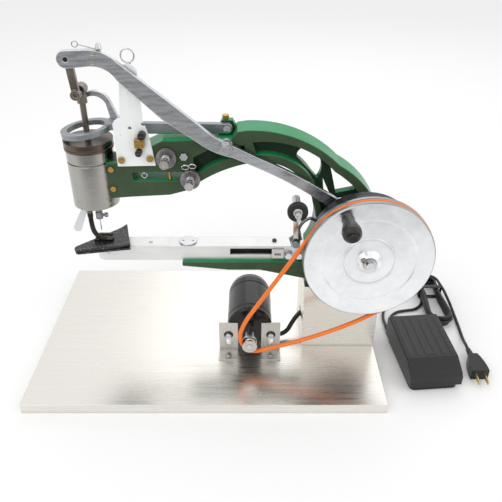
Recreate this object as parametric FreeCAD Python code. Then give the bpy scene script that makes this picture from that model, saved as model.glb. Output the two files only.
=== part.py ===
"""Motorised shoe-patching sewing machine on a folded tray, with its motor, foot pedal and cords.

Millimetres. X runs from the needle head to the hand wheel, Y away from the operator, Z up.
The origin is the centre of the tray on the surface that it stands on.
"""
import FreeCAD
import Part
import math
import os

V = FreeCAD.Vector
X_AXIS = V(1, 0, 0)
Y_AXIS = V(0, 1, 0)
Z_AXIS = V(0, 0, 1)

# Clearances
RUNNING = 0.05          # radial, a shaft in its hole
SEAT = 0.02             # radial, a piece pushed on to its shaft
CLEAR = 0.3             # between pieces that pass each other

# Tray and pedestal
TRAY_LENGTH = 500.0
TRAY_DEPTH = 330.0
TRAY_HEIGHT = 15.0
SHEET = 1.5
PEDESTAL_WIDTH = 109.0
PEDESTAL_DEPTH = 100.0
PEDESTAL_HEIGHT = 109.0
PEDESTAL_SETBACK = 123.0        # from the tray's front edge to the pedestal's front panel
PEDESTAL_FLANGE = 14.0
LEAD_HOLE_R = 8.0
LEAD_HOLE_HEIGHT = 33.5         # above the tray
LEAD_HOLE_SETBACK = 46.0        # from the pedestal's front panel

# Main shaft and hand wheel
SHAFT_INSET = 34.0              # from the tray's right edge
SHAFT_HEIGHT = 78.0             # above the pedestal's top
SHAFT_R = 8.0
SHAFT_NOSE_R = 5.2
SHAFT_NOSE = 5.0
WHEEL_R = 85.0
WHEEL_THICK = 20.0
WHEEL_SETBACK = 67.0            # from the tray's front edge to the wheel's front face
WHEEL_HUB_R = 17.0
WHEEL_HUB_PROUD = 6.0
WHEEL_WEB = 9.0
WHEEL_RIM = 14.0
BELT_R = 3.0
BELT_INSET = 2.5                # belt centre line below the wheel's rim
BELT_LEAVES = -50.0             # degrees from +X where the slack run leaves the wheel
CRANK_R = 75.0                  # crank circle
CRANK_ANGLE = 117.0             # degrees from +X at rest
SPINDLE_R = 4.0
SPINDLE_COLLAR = 5.0
GRIP_R = 12.0
GRIP_LENGTH = 46.0

# Cam drum behind the wheel
CAM_R = 72.0
CAM_DEPTH = 24.0
CAM_FLOOR = 7.0
CAM_RIM = 5.0
CAM_HUB_R = 20.0
CAM_GAP = 9.0                   # from the needle lever's front to the drum
ROLLER_R = 6.0

# Cast frame
FRAME_HALF = 20.0               # half the width of the rims and the head
WEB_HALF = 6.0
BOSS_PROUD = 2.0
FOOT_THICK = 11.0
FOOT_HALF_DEPTH = 36.0
FOOT_BOLT_R = 4.0
FOOT_BOLT_INSET = 6.0
BUSH_WALL = 4.0
BUSH_FLANGE = 2.0
BOSS_R = 21.0
POST_DEPTH = 8.0                # how far posts go into the casting

# Needle head
NEEDLE_REACH = 366.0            # from the main shaft back to the needle
BARREL_R = 31.0
BARREL_LENGTH = 92.0
BARREL_BOTTOM = 66.0            # above the bed
BARREL_RIM = 12.0
HEAD_TOP = 131.0                # above the bed
KEEPER_HALF = 14.0
KEEPER_THICK = 2.0
KEEPER_BITE = 2.0               # depth of the barrel's groove
NEEDLE_BAR_R = 4.0
NEEDLE_R = 0.9
CLAMP_R = 5.0
CLAMP_HEIGHT = 10.0
CLAMP_DROP = 27.0               # from the barrel's bottom to the clamp's lower end
PRESSER_R = 4.0
PRESSER_OFFSET = 13.0
PRESSER_COLLAR = 4.0
POCKET_R = 7.0                  # spring chamber in the barrel
TOE_THICK = 3.4
PADDLE_SETBACK = 15.0           # in front of the barrel's axis, and as far to its left
PADDLE_PIN_R = 2.0
PADDLE_LUG = 4.0
LEATHER_THICK = 7.0
LEATHER_LIFT = 0.2              # over the arm

# Needle lever and link
LEVER_THICK = 7.0
LEVER_GAP = 4.0                 # from the frame's front to the lever's back
LEVER_PIVOT_R = 5.0
LINK_THICK = 6.0
LINK_LENGTH = 44.0
LINK_PIN_R = 3.0
LINK_EYE_PLAY = 1.1             # the knuckle's open eye
KNUCKLE_HEIGHT = 222.0          # above the bed
SWIVEL_R = 6.5
SWIVEL_HALF = 8.0
SOCKET_DEEP = 11.0
GUIDE_SCREW_R = 2.6
GUIDE_STEM_R = 1.8

# Feed lever
FEED_THICK = 8.0
FEED_PIN_R = 3.0
FEED_RING_OUT = 33.0
FEED_RING_IN = 25.0
FEED_RING_HEIGHT = 7.0
FEED_RING_LIFT = 12.0           # over the barrel
FEED_TILT = 7.5                 # degrees, the ring hangs lower at its left side
STRAP_THICK = 7.0

# Thread plate and tension units
PLATE_THICK = 2.0
PLATE_SCREW_R = 2.5
REGULATOR_STEM_R = 2.0
TENSION_R = 13.0
TENSION_POST_R = 2.5
TENSION_POST = 27.0
TENSION_SPRING_R = 5.6
TENSION_NUT_R = 6.0
TENSION_NUT = 9.0
SPRING_WIRE_R = 0.7
SPRING_SEAT = 1.1               # wire's centre line from the face that the spring stands on

# Shuttle arm
BED_HEIGHT = 51.0               # arm's top above the pedestal's top
ARM_HEIGHT = 23.0
ARM_WIDTH = 27.0
ARM_WALL = 3.0
ARM_TIP = 9.0                   # past the needle
NEEDLE_PLATE = 2.5
PLATE_LEDGE = 1.5
COVER_R = 12.5
COVER_THICK = 2.0
COVER_PIN_R = 2.0
PINION_R = 4.5                  # pitch radius
PINION_TEETH = 12
PINION_WIDTH = 6.0
RACK_TRAVEL = 8.0
SHUTTLE_R = 6.4
SHUTTLE_SPINDLE_R = 2.0

# Motor
MOTOR_X = 62.0
MOTOR_HEIGHT = 42.0             # axis above the tray
MOTOR_R = 33.0
MOTOR_SETBACK = 115.0           # from the tray's front edge to the motor's front
MOTOR_LENGTH = 106.0
MOTOR_WALL = 3.0
MOTOR_EAR_R = 6.5
FIELD_LENGTH = 48.0
ROTOR_R = 18.0
ROTOR_SHAFT_R = 4.0
PULLEY_BELT_R = 9.0             # belt centre line on the motor pulley
PULLEY_WIDTH = 13.0
BELT_SEAT = 215.0               # degrees from +X where the belt sits on the pulley
BELT_LOOP_RISE = 54.0           # the rising run is straight from this far above the motor's axis
BELT_LOOP_SHIFT = 2.0
BELT_DIP = 4.6                  # the lower run's dip below the motor's axis
BELT_DIP_REACH = 39.0
BELT_DIP_SLOPE = 16.9           # degrees
MOTOR_GLAND_ANGLE = -40.0       # degrees from +X
MOTOR_GLAND = 5.0
PULLEY_HUB_R = 6.4
BRACKET_WIDTH = 28.0
BRACKET_HEIGHT = 51.0
BRACKET_FOOT = 24.0
BRACKET_THICK = 2.0
BRACKET_SPREAD = 31.5           # from the motor's axis to each bracket's screw
BRACKET_DROP = 13.0             # the screws sit below the motor's axis
BRACKET_SCREW_R = 3.0
BRACKET_SLOT = 6.4

# Bobbin winder
WINDER_ROD_R = 2.2
WINDER_WHEEL_R = 13.0
WINDER_SPINDLE_R = 2.5
WINDER_PIVOT_R = 3.0
WINDER_WING = 2.4
WINDER_STANDOFF = 30.0          # wing in front of the frame

# Pedal
PEDAL_X = 321.0
PEDAL_Y = -63.0
PEDAL_TURN = 5.0                # degrees about Z
PEDAL_WIDTH = 76.0
PEDAL_LENGTH = 120.0
PEDAL_HEIGHT = 46.0
PEDAL_WALL = 2.5
PEDAL_SIDE_GAP = 0.8            # treadle to base
PEDAL_BASE_HEIGHT = 16.0
TREADLE_RIM = 9.0               # lower edge of the treadle above the floor
PEDAL_PIN_R = 2.5
PEDAL_SPRING_R = 7.0
PEDAL_FLOOR = 3.0
PEDAL_SEAT = 6.0                # the spring's seat above the floor
PEDAL_RIBS = 6
GLAND_LENGTH = 8.0
GLAND_R = 3.5
GLAND_HEIGHT = 4.2

# Cords and plug
CORD_R = 2.3
HANK_X = 375.0
HANK_FRONT = 39.0               # centre of the front loops
HANK_WAIST = 105.0
HANK_BACK = 127.0               # centre of the back loops
HANK_IN_R = 14.0
HANK_STEP = 6.0
HANK_LAYER = 5.2
HANK_WAIST_DRAW = 4.0
HANK_LAYERS = 4
PLUG_X = 397.0
PLUG_BACK = -44.0               # where the cord enters the plug
PLUG_NECK = 18.0
PLUG_BODY = 38.0
PLUG_WIDTH = 25.0
PLUG_HEIGHT = 17.0
BLADE_SPACING = 12.7
BLADE_LENGTH = 17.0

# Levels and axes that the pieces share
tray_top = TRAY_HEIGHT
deck = TRAY_HEIGHT + PEDESTAL_HEIGHT
bed = deck + BED_HEIGHT
arm_floor = bed - ARM_HEIGHT
front_edge = -TRAY_DEPTH / 2
shaft_x = TRAY_LENGTH / 2 - SHAFT_INSET
shaft_z = deck + SHAFT_HEIGHT
needle_x = shaft_x - NEEDLE_REACH
pedestal_front = front_edge + PEDESTAL_SETBACK
pedestal_back = pedestal_front + PEDESTAL_DEPTH
pedestal_right = TRAY_LENGTH / 2
pedestal_left = pedestal_right - PEDESTAL_WIDTH
lead_y = pedestal_front + LEAD_HOLE_SETBACK
lead_z = tray_top + LEAD_HOLE_HEIGHT
frame_front = -FRAME_HALF
lever_back = frame_front - LEVER_GAP
lever_front = lever_back - LEVER_THICK
cam_back = lever_front - CAM_GAP
cam_front = cam_back - CAM_DEPTH
wheel_front = front_edge + WHEEL_SETBACK
wheel_back = wheel_front + WHEEL_THICK
hub_front = wheel_front - WHEEL_HUB_PROUD
belt_y = (wheel_front + wheel_back) / 2
wheel_belt_r = WHEEL_R - BELT_INSET
crank_x = shaft_x + CRANK_R * math.cos(math.radians(CRANK_ANGLE))
crank_z = shaft_z + CRANK_R * math.sin(math.radians(CRANK_ANGLE))
grip_start = wheel_front - SPINDLE_COLLAR - CLEAR
grip_end = grip_start - GRIP_LENGTH
roller_x = shaft_x - 22.0
roller_z = shaft_z + 34.0
foot_bolts = [(x, y) for x in (shaft_x - 68.0, shaft_x + 25.0)
              for y in (FOOT_BOLT_INSET - FOOT_HALF_DEPTH, FOOT_HALF_DEPTH - FOOT_BOLT_INSET)]

barrel_bottom = bed + BARREL_BOTTOM
barrel_top = barrel_bottom + BARREL_LENGTH
keeper_z = bed + HEAD_TOP - KEEPER_THICK
leather_bottom = bed + LEATHER_LIFT
leather_top = leather_bottom + LEATHER_THICK
presser_x = needle_x - PRESSER_OFFSET
toe_bottom = leather_top + 0.4
pocket_bottom = barrel_bottom + 22.0
pocket_top = barrel_top - 10.0
collar_bottom = pocket_bottom + 4.0
paddle_x = needle_x - PADDLE_SETBACK
paddle_y = -PADDLE_SETBACK
paddle_z = barrel_bottom - PADDLE_LUG - 2.0
clamp_bottom = barrel_bottom - CLAMP_DROP

pivot_x = shaft_x - 184.0
pivot_z = shaft_z + 129.0
eye_x = needle_x - 4.0
knuckle_z = bed + KNUCKLE_HEIGHT
eye_z = knuckle_z + LINK_LENGTH
link_front = lever_back + CLEAR
link_back = link_front + LINK_THICK
socket_top = knuckle_z - 6.0
guide_holes = [(eye_x + 33.0, eye_z + 5.5), (eye_x + 32.0, eye_z - 5.0)]
guide_x = eye_x + 40.0
guide_z = eye_z + 8.0

feed_x = shaft_x - 183.0
feed_z = shaft_z + 144.0
cheek_top = feed_z + 9.0
ring_z = barrel_top + FEED_RING_LIFT
lug_z = ring_z + 10.0
strap_front = SWIVEL_HALF + 1.5

plate_back = frame_front
plate_front = frame_front - PLATE_THICK
plate_holes = [(needle_x + 46.0, bed + 136.0), (needle_x + 83.0, bed + 138.0)]
plate_eye_x = needle_x + 67.0
plate_eye_z = bed + 268.0
regulator_places = [(needle_x + 76.0, bed + 171.0, 5.0), (needle_x + 70.0, bed + 148.0, 4.4)]
block_x = needle_x + 72.0
block_z = bed + 160.0
tension_places = [(needle_x + 104.0, bed + 139.0), (needle_x + 134.0, bed + 109.0)]
disc_front = frame_front - 6.2
nut_back = frame_front - TENSION_POST + TENSION_NUT

arm_right = shaft_x - 75.0
arm_left = needle_x - ARM_TIP
arm_half = ARM_WIDTH / 2
arm_bolts = (shaft_x - 98.0, shaft_x - 83.0)
arm_bolt_z = arm_floor + 9.0
arm_screw = (shaft_x - 118.0, 2.0)
plate_right = needle_x + 96.0
cover_x = needle_x + 123.0
shuttle_x = needle_x + 3.0 + SHUTTLE_R
shuttle_z = bed - NEEDLE_PLATE - 0.8 - SHUTTLE_R
module = 2 * PINION_R / PINION_TEETH
rack_line = shuttle_z - PINION_R
rack_y = 1.0

motor_z = tray_top + MOTOR_HEIGHT
motor_front = front_edge + MOTOR_SETBACK
motor_back = motor_front + MOTOR_LENGTH
field_middle = (motor_front + motor_back) / 2 - 4.0
pulley_front = belt_y - PULLEY_WIDTH / 2
pulley_back = belt_y + PULLEY_WIDTH / 2
bracket_front = motor_front - BRACKET_THICK
bracket_screw_z = motor_z - BRACKET_DROP
gland_way = V(math.cos(math.radians(MOTOR_GLAND_ANGLE)), 0, math.sin(math.radians(MOTOR_GLAND_ANGLE)))
gland_root = V(MOTOR_X, motor_front + 22.0, motor_z) + gland_way * (MOTOR_R - MOTOR_WALL / 2)
gland_end = gland_root + gland_way * (MOTOR_GLAND + MOTOR_WALL / 2)

winder_root = (shaft_x - 62.0, frame_front, shaft_z + 24.0)
winder_pivot = (shaft_x - 92.0, shaft_z + 4.0)
winder_axis = (shaft_x - 94.0, shaft_z + 68.0)
winder_y = frame_front - WINDER_STANDOFF
winder_back = winder_y - WINDER_WING / 2 - CLEAR

hinge_y = PEDAL_LENGTH / 2 - 9.0
hinge_z = 10.0
pedal_spring_y = -20.0
pedal_spring_top = PEDAL_HEIGHT - 14.0
gland_places = (-PEDAL_WIDTH / 2 + 8.0, -PEDAL_WIDTH / 2 + 17.0)

floor_z = CORD_R + 0.1
hank_out_r = HANK_IN_R + HANK_STEP

nodes = {}


# Solid helpers

def box(x0, x1, y0, y1, z0, z1):
    return Part.makeBox(x1 - x0, y1 - y0, z1 - z0, V(x0, y0, z0))


def rod(radius, start, end):
    start = V(*start)
    along = V(*end) - start
    return Part.makeCylinder(radius, along.Length, start, along)


def y_rod(radius, x, z, y0, y1):
    return rod(radius, (x, y0, z), (x, y1, z))


def y_tube(outer, inner, x, z, y0, y1):
    return y_rod(outer, x, z, y0, y1).cut(y_rod(inner, x, z, y0 - 1, y1 + 1))


def z_rod(radius, x, y, z0, z1):
    return rod(radius, (x, y, z0), (x, y, z1))


def join(first, *others):
    shape = first.fuse(list(others))
    return shape.removeSplitter()


def less(shape, *cutters):
    for cutter in cutters:
        shape = shape.cut(cutter)
    return shape


def outline_face(steps, place):
    """A face from an outline: a step is a corner, or a pair (point on the arc, arc's end)."""
    edges = []
    here = place(*steps[0])
    for step in steps[1:] + [steps[0]]:
        if isinstance(step[0], tuple):
            end = place(*step[1])
            edges.append(Part.Arc(here, place(*step[0]), end).toShape())
        else:
            end = place(*step)
            if (end - here).Length > 1e-6:
                edges.append(Part.makeLine(here, end))
        here = end
    return Part.Face(Part.Wire(edges))


def slab(steps, y0, y1):
    """An outline in X and Z, thickened from y0 to y1."""
    return outline_face(steps, lambda x, z: V(x, y0, z)).extrude(V(0, y1 - y0, 0))


def plate(steps, z0, z1):
    """An outline in X and Y, thickened from z0 to z1."""
    return outline_face(steps, lambda x, y: V(x, y, z0)).extrude(V(0, 0, z1 - z0))


def turned(profile, x, z):
    """A profile of (radius, y) points turned about the line through x, z along Y."""
    wire = Part.makePolygon([V(x + r, y, z) for r, y in profile + profile[:1]])
    return Part.Face(wire).revolve(V(x, 0, z), Y_AXIS, 360)


def hexagon(radius, x, z, y0, y1):
    sixths = [math.pi * k / 3 for k in range(6)]
    return slab([(x + radius * math.cos(a), z + radius * math.sin(a)) for a in sixths], y0, y1)


def screw_head(radius, x, z, y0, y1, slot=1.2):
    """A round head facing the operator, with a cross slot."""
    head = y_rod(radius, x, z, y0, y1)
    long_cut = box(x - radius, x + radius, y0 - 1, y0 + 0.8, z - slot / 2, z + slot / 2)
    return less(head, long_cut)


# Paths for cords, wires and springs

def arc_from(start, tangent, end):
    """The arc that leaves start along tangent and reaches end."""
    chord = end - start
    unit = V(chord).normalize()
    side = tangent - unit * tangent.dot(unit)
    if side.Length < 1e-6:
        return Part.makeLine(start, end)
    angle = math.acos(max(-1.0, min(1.0, tangent.dot(unit))))
    middle = (start + end) * 0.5 + V(side).normalize() * (chord.Length / 2 * math.tan(angle / 2))
    return Part.Arc(start, middle, end).toShape()


def biarc(start, start_dir, end, end_dir):
    """Two arcs that join two points with the given directions."""
    chord = end - start
    a = 2 * (start_dir.dot(end_dir) - 1)
    b = -2 * chord.dot(start_dir + end_dir)
    c = chord.dot(chord)
    if abs(a) < 1e-9:
        reach = -c / b
    else:
        reach = (-b - math.sqrt(b * b - 4 * a * c)) / (2 * a)
    middle = (start + start_dir * reach + end - end_dir * reach) * 0.5
    first = arc_from(start, start_dir, middle)
    # The second arc is drawn from its own end, backwards, then turned round by the wire.
    second = arc_from(end, end_dir * -1, middle)
    return [first, second]


def tube(edges, radius, start, direction):
    """A round tube along joined edges."""
    path = Part.Wire(edges)
    ring = Part.Wire([Part.makeCircle(radius, start, direction)])
    return path.makePipeShell([ring], True, False)


def routed(points):
    """Straight runs joined by the largest tangent arcs, with the radii that came out."""
    points = [V(*p) for p in points]
    edges = []
    radii = []
    here = points[0]
    for before, corner, after in zip(points, points[1:], points[2:]):
        inward = V(corner - before).normalize()
        outward = V(after - corner).normalize()
        turn = inward.getAngle(outward)
        reach = 0.45 * min((corner - before).Length, (after - corner).Length)
        radii.append(reach / math.tan(turn / 2))
        start = corner - inward * reach
        end = corner + outward * reach
        edges.append(Part.makeLine(here, start))
        edges.append(arc_from(start, inward, end))
        here = end
    edges.append(Part.makeLine(here, points[-1]))
    return edges, radii


def cord(name, points):
    edges, radii = routed(points)
    shape = tube(edges, CORD_R, V(*points[0]), V(*points[1]) - V(*points[0]))
    length = sum(edge.Length for edge in edges)
    share = shape.Volume / (math.pi * CORD_R ** 2 * length)
    print(name, "length", round(length), "least radius", round(min(radii), 1),
          "volume share", round(share, 4))
    return shape


def least_gap(points, skip, radius):
    """The least gap between a tube and itself, from points along its line."""
    best = 1e9
    for i, p in enumerate(points):
        for q in points[i + skip:]:
            best = min(best, (p - q).Length)
    return best - 2 * radius


def coil(x, z, y0, y1, radius, turns, wire):
    """A compression spring along Y, in quarter turns, with its wire's ends left straight."""
    quarters = int(turns * 4)
    stations = []
    for k in range(quarters + 1):
        angle = math.pi / 2 * k
        pitch = (y1 - y0) / quarters
        rise = pitch / (math.pi / 2)
        point = V(x + radius * math.cos(angle), y0 + pitch * k, z + radius * math.sin(angle))
        stations.append((point, V(-radius * math.sin(angle), rise, radius * math.cos(angle)).normalize()))
    edges = []
    for (p, t), (q, u) in zip(stations, stations[1:]):
        edges += biarc(p, t, q, u)
    lead_in = stations[0][0] - stations[0][1] * (2 * wire)
    lead_out = stations[-1][0] + stations[-1][1] * (2 * wire)
    edges = [Part.makeLine(lead_in, stations[0][0])] + edges + [Part.makeLine(stations[-1][0], lead_out)]
    return tube(edges, wire, lead_in, stations[0][1]), [p for p, t in stations]


# Tray and pedestal

def make_base_tray():
    half = TRAY_LENGTH / 2
    deep = TRAY_DEPTH / 2
    outside = box(-half, half, -deep, deep, 0, TRAY_HEIGHT)
    inside = box(-half + SHEET, half - SHEET, -deep + SHEET, deep - SHEET, -1, TRAY_HEIGHT - SHEET)
    return less(outside, inside)


def make_pedestal():
    left, right = pedestal_left, pedestal_right
    outside = box(left, right, pedestal_front, pedestal_back, tray_top, deck)
    inside = box(left + SHEET, right - SHEET, pedestal_front + SHEET, pedestal_back + 1,
                 tray_top - 1, deck - SHEET)
    shell = less(outside, inside)
    flanges = []
    for near in (left + SHEET, right - SHEET - PEDESTAL_FLANGE):
        flanges.append(box(near, near + PEDESTAL_FLANGE, pedestal_front + SHEET, pedestal_back,
                           tray_top, tray_top + SHEET))
    shell = join(shell, *flanges)
    lead_hole = rod(LEAD_HOLE_R, (left - 1, lead_y, lead_z), (left + SHEET + 1, lead_y, lead_z))
    return less(shell, lead_hole)


# Cast frame

def make_frame():
    sx, nx = shaft_x, needle_x
    column_in = sx - 75.0
    head_left = nx + 14.0
    crown = shaft_z + 148.0
    silhouette = [
        (column_in + 2, deck),
        (sx - 139, arm_floor - 13),
        (sx - 184, arm_floor - 13),
        (nx + 115, arm_floor - 6),
        (nx + 115, arm_floor),
        (column_in, arm_floor),
        (column_in, bed + 1),
        ((sx - 63, shaft_z + 8), (sx - 68, shaft_z + 45)),
        ((sx - 92, shaft_z + 88), (sx - 147, shaft_z + 105)),
        ((sx - 182, shaft_z + 96), (nx + 130, bed + 92)),
        (nx + 105, bed + 85),
        (nx + 52, bed + 82),
        (head_left, bed + 79),
        (head_left, bed + HEAD_TOP),
        (nx + 40, bed + HEAD_TOP),
        (nx + 46, bed + 145),
        (nx + 75, bed + 149),
        (nx + 100, bed + 161),
        (sx - 177, shaft_z + 136),
        (sx - 170, crown - 2),
        (sx - 157, crown),
        ((sx - 89, shaft_z + 136), (sx - 35, shaft_z + 100)),
        ((sx + 10, shaft_z + 58), (sx + 31, shaft_z)),
        (sx + 31, deck),
    ]
    body = slab(silhouette, -FRAME_HALF, FRAME_HALF)
    # The web stands back between the rims, on both sides.
    quadrant = [
        (sx - 150, shaft_z + 132),
        ((sx - 92, shaft_z + 126), (sx - 41, shaft_z + 91)),
        ((sx - 2, shaft_z + 55), (sx + 20, shaft_z + 8)),
        (sx + 20, deck + FOOT_THICK + 12),
        (sx - 55, deck + FOOT_THICK + 12),
        ((sx - 53, shaft_z + 12), (sx - 59, shaft_z + 47)),
        ((sx - 84, shaft_z + 96), (sx - 145, shaft_z + 115)),
    ]
    # A darker panel stands back in the neck between the head and the quadrant.
    neck = [
        (nx + 140, bed + 112),
        ((sx - 186, shaft_z + 108), (sx - 160, shaft_z + 115)),
        (sx - 160, shaft_z + 128),
        (nx + 160, bed + 150),
        (nx + 138, bed + 138),
    ]
    for recess in (quadrant, neck):
        body = less(body, slab(recess, -FRAME_HALF - 1, -WEB_HALF), slab(recess, WEB_HALF, FRAME_HALF + 1))
    # Openings between the spokes.
    teardrop = [
        (sx - 92, shaft_z + 108),
        ((sx - 80, shaft_z + 121), (sx - 66, shaft_z + 112)),
        ((sx - 58, shaft_z + 95), (sx - 63, shaft_z + 76)),
    ]
    triangle = [
        (sx - 47, shaft_z + 98),
        (sx - 37, shaft_z + 97),
        ((sx - 20, shaft_z + 82), (sx - 8, shaft_z + 64)),
        (sx - 12, shaft_z + 59),
        (sx - 36, shaft_z + 54),
    ]
    lower = [
        (sx - 34, shaft_z + 46),
        (sx - 4, shaft_z + 51),
        ((sx + 6, shaft_z + 38), (sx + 12, shaft_z + 26)),
        (sx - 28, shaft_z + 28),
    ]
    slit = [
        (sx - 55, shaft_z + 76),
        (sx - 43, shaft_z + 50),
        (sx - 46, shaft_z + 34),
        (sx - 51, shaft_z + 40),
    ]
    for gap in (teardrop, triangle, lower, slit):
        body = less(body, slab(gap, -WEB_HALF - 1, WEB_HALF + 1))
    # Head window between the two bars.
    window = [
        (nx + 57, bed + 105),
        (nx + 126, bed + 105),
        (nx + 124, bed + 118),
        (nx + 57, bed + 118),
    ]
    body = less(body, slab(window, -FRAME_HALF - 1, FRAME_HALF + 1))
    foot = box(column_in + 1, sx + 32, -FOOT_HALF_DEPTH, FOOT_HALF_DEPTH, deck, deck + FOOT_THICK)
    boss = y_rod(BOSS_R, sx, shaft_z, -FRAME_HALF - BOSS_PROUD, FRAME_HALF + BOSS_PROUD)
    cheek = slab([(feed_x - 12, feed_z - 10), (feed_x + 12, feed_z - 10), (feed_x + 12, feed_z),
                  (feed_x + 7, cheek_top), (feed_x - 7, cheek_top), (feed_x - 12, feed_z)],
                 FEED_THICK / 2 + CLEAR, FRAME_HALF - 4)
    body = join(body, foot, boss, cheek)
    bush_hole = y_rod(SHAFT_R + RUNNING + BUSH_WALL + SEAT, sx, shaft_z, -60, 60)
    seat = z_rod(BARREL_R + RUNNING, nx, 0, bed + 60, bed + 140)
    keeper_pocket = box(nx + 12, nx + 44, -KEEPER_HALF - SEAT, KEEPER_HALF + SEAT,
                        keeper_z, bed + HEAD_TOP + 9)
    pivot_hole = y_rod(LEVER_PIVOT_R + SEAT, pivot_x, pivot_z, -60, 60)
    feed_hole = y_rod(FEED_PIN_R + SEAT, feed_x, feed_z, 0, 60)
    body = less(body, bush_hole, seat, keeper_pocket, pivot_hole, feed_hole)
    for x, z in tension_places:
        body = less(body, y_rod(TENSION_POST_R + SEAT, x, z, -60, frame_front + POST_DEPTH))
    root_x, root_y, root_z = winder_root
    body = less(body, y_rod(WINDER_ROD_R + SEAT, root_x, root_z, -60, root_y + POST_DEPTH))
    for x, y in foot_bolts:
        body = less(body, z_rod(FOOT_BOLT_R + SEAT, x, y, deck - 1, deck + FOOT_THICK + 1))
    return body


def make_keeper():
    """The thin plate on the head that holds the barrel by its groove."""
    reach = BARREL_R - KEEPER_BITE + CLEAR
    blank = box(needle_x + 12, needle_x + 44, -KEEPER_HALF, KEEPER_HALF, keeper_z, keeper_z + KEEPER_THICK)
    return less(blank, z_rod(reach, needle_x, 0, keeper_z - 1, keeper_z + KEEPER_THICK + 1))


# Barrel and what it carries

def make_barrel():
    body = z_rod(BARREL_R, needle_x, 0, barrel_bottom, barrel_top)
    lip = z_rod(BARREL_R + 1.5, needle_x, 0, barrel_top - BARREL_RIM, barrel_top)
    body = join(body, lip)
    groove_top = keeper_z + KEEPER_THICK + CLEAR
    groove = z_rod(BARREL_R + 3, needle_x, 0, keeper_z - CLEAR, groove_top)
    groove = less(groove, z_rod(BARREL_R - KEEPER_BITE, needle_x, 0, keeper_z - 1, groove_top + 1))
    line = z_rod(BARREL_R + 3, needle_x, 0, barrel_top - BARREL_RIM + 3, barrel_top - BARREL_RIM + 5)
    line = less(line, z_rod(BARREL_R + 0.5, needle_x, 0, barrel_bottom, barrel_top))
    bore = z_rod(NEEDLE_BAR_R + RUNNING, needle_x, 0, barrel_bottom - 1, barrel_top + 1)
    presser_bore = z_rod(PRESSER_R + RUNNING, presser_x, 0, barrel_bottom - 1, barrel_top + 1)
    pocket = z_rod(POCKET_R, presser_x, 0, pocket_bottom, pocket_top)
    body = less(body, groove, line, bore, presser_bore, pocket)
    half = PADDLE_LUG / 2
    lug = box(paddle_x - PADDLE_LUG, paddle_x + PADDLE_LUG, paddle_y - half, paddle_y + half,
              paddle_z - PADDLE_LUG, barrel_bottom)
    body = join(body, lug)
    return less(body, y_rod(PADDLE_PIN_R + RUNNING, paddle_x, paddle_z, -BARREL_R, 0))


def make_paddle():
    """The small lever under the barrel that lifts the foot, with its own pivot pin."""
    front = paddle_y - PADDLE_LUG / 2 - CLEAR
    blade = [
        (paddle_x + 4, paddle_z),
        ((paddle_x, paddle_z + 4), (paddle_x - 4, paddle_z + 1)),
        (paddle_x - 17, paddle_z - 24),
        ((paddle_x - 14, paddle_z - 30), (paddle_x - 7, paddle_z - 28)),
    ]
    pin = y_rod(PADDLE_PIN_R, paddle_x, paddle_z, front - 1, paddle_y + PADDLE_LUG / 2 + 1)
    return join(slab(blade, front - 4, front), pin)


def make_presser():
    """The presser bar, swept down and forward into a forked foot."""
    bend = barrel_bottom - 25.0
    bar = z_rod(PRESSER_R, presser_x, 0, bend, barrel_top + 1)
    collar = z_rod(POCKET_R - 0.6, presser_x, 0, collar_bottom, collar_bottom + PRESSER_COLLAR)
    end_z = toe_bottom + TOE_THICK
    route = [
        (presser_x, 0, bend + 2),
        (presser_x + 0.5, -1.5, bend - 10),
        (presser_x + 4, -7.5, end_z + 9),
        (presser_x + 13, -10.5, end_z + 0.5),
        (presser_x + 22, -9.6, end_z - 0.6),
    ]
    edges, radii = routed(route)
    leg = tube(edges, PRESSER_R - 0.6, V(*route[0]), V(*route[1]) - V(*route[0]))
    toe = plate([
        (needle_x - 9, -13),
        (needle_x + 15, -12),
        ((needle_x + 18, -7), (needle_x + 16, -2.5)),
        (needle_x - 2, -2.5),
        ((needle_x - 4, 0), (needle_x - 2, 2.5)),
        (needle_x + 13, 2.5),
        ((needle_x + 14, 5), (needle_x + 11, 7)),
        (needle_x - 6, 7),
    ], toe_bottom, end_z)
    below = box(needle_x - 40, needle_x + 40, -40, 40, toe_bottom - 20, toe_bottom)
    return less(join(bar, collar, leg, toe), below)


def make_presser_spring():
    seat = collar_bottom + PRESSER_COLLAR
    spring, line = coil(0, 0, 0, pocket_top - seat - 2 * SPRING_SEAT, POCKET_R - 1.6, 7, SPRING_WIRE_R)
    print("presser spring least gap", round(least_gap(line, 3, SPRING_WIRE_R), 2))
    spring.rotate(V(0, 0, 0), X_AXIS, 90)
    spring.translate(V(presser_x, 0, seat + SPRING_SEAT))
    return spring


def make_swivel():
    """The head on the needle bar that the link's pin lifts while the bar turns in it."""
    eye = y_rod(SWIVEL_R + 1, needle_x, knuckle_z, -SWIVEL_HALF, SWIVEL_HALF)
    socket = z_rod(SWIVEL_R, needle_x, 0, socket_top - SOCKET_DEEP, knuckle_z)
    body = join(eye, socket)
    bar_bore = z_rod(NEEDLE_BAR_R + RUNNING, needle_x, 0, socket_top - SOCKET_DEEP - 1, socket_top)
    open_eye = y_rod(LINK_PIN_R + LINK_EYE_PLAY, needle_x, knuckle_z, -SWIVEL_HALF - 1, SWIVEL_HALF + 1)
    return less(body, open_eye, bar_bore)


def make_needle_bar():
    bar = z_rod(NEEDLE_BAR_R, needle_x, 0, clamp_bottom + CLAMP_HEIGHT, socket_top - 0.1)
    return bar


def make_needle_clamp():
    body = z_rod(CLAMP_R, needle_x, 0, clamp_bottom, clamp_bottom + CLAMP_HEIGHT)
    middle = clamp_bottom + CLAMP_HEIGHT / 2
    screw = rod(2.0, (needle_x, 0, middle), (needle_x + 8, 0, middle))
    thumb = rod(3.4, (needle_x + 8, 0, middle), (needle_x + 12, 0, middle))
    body = join(body, screw, thumb)
    return less(body, z_rod(NEEDLE_R + SEAT, needle_x, 0, clamp_bottom - 1, clamp_bottom + 8))


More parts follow.
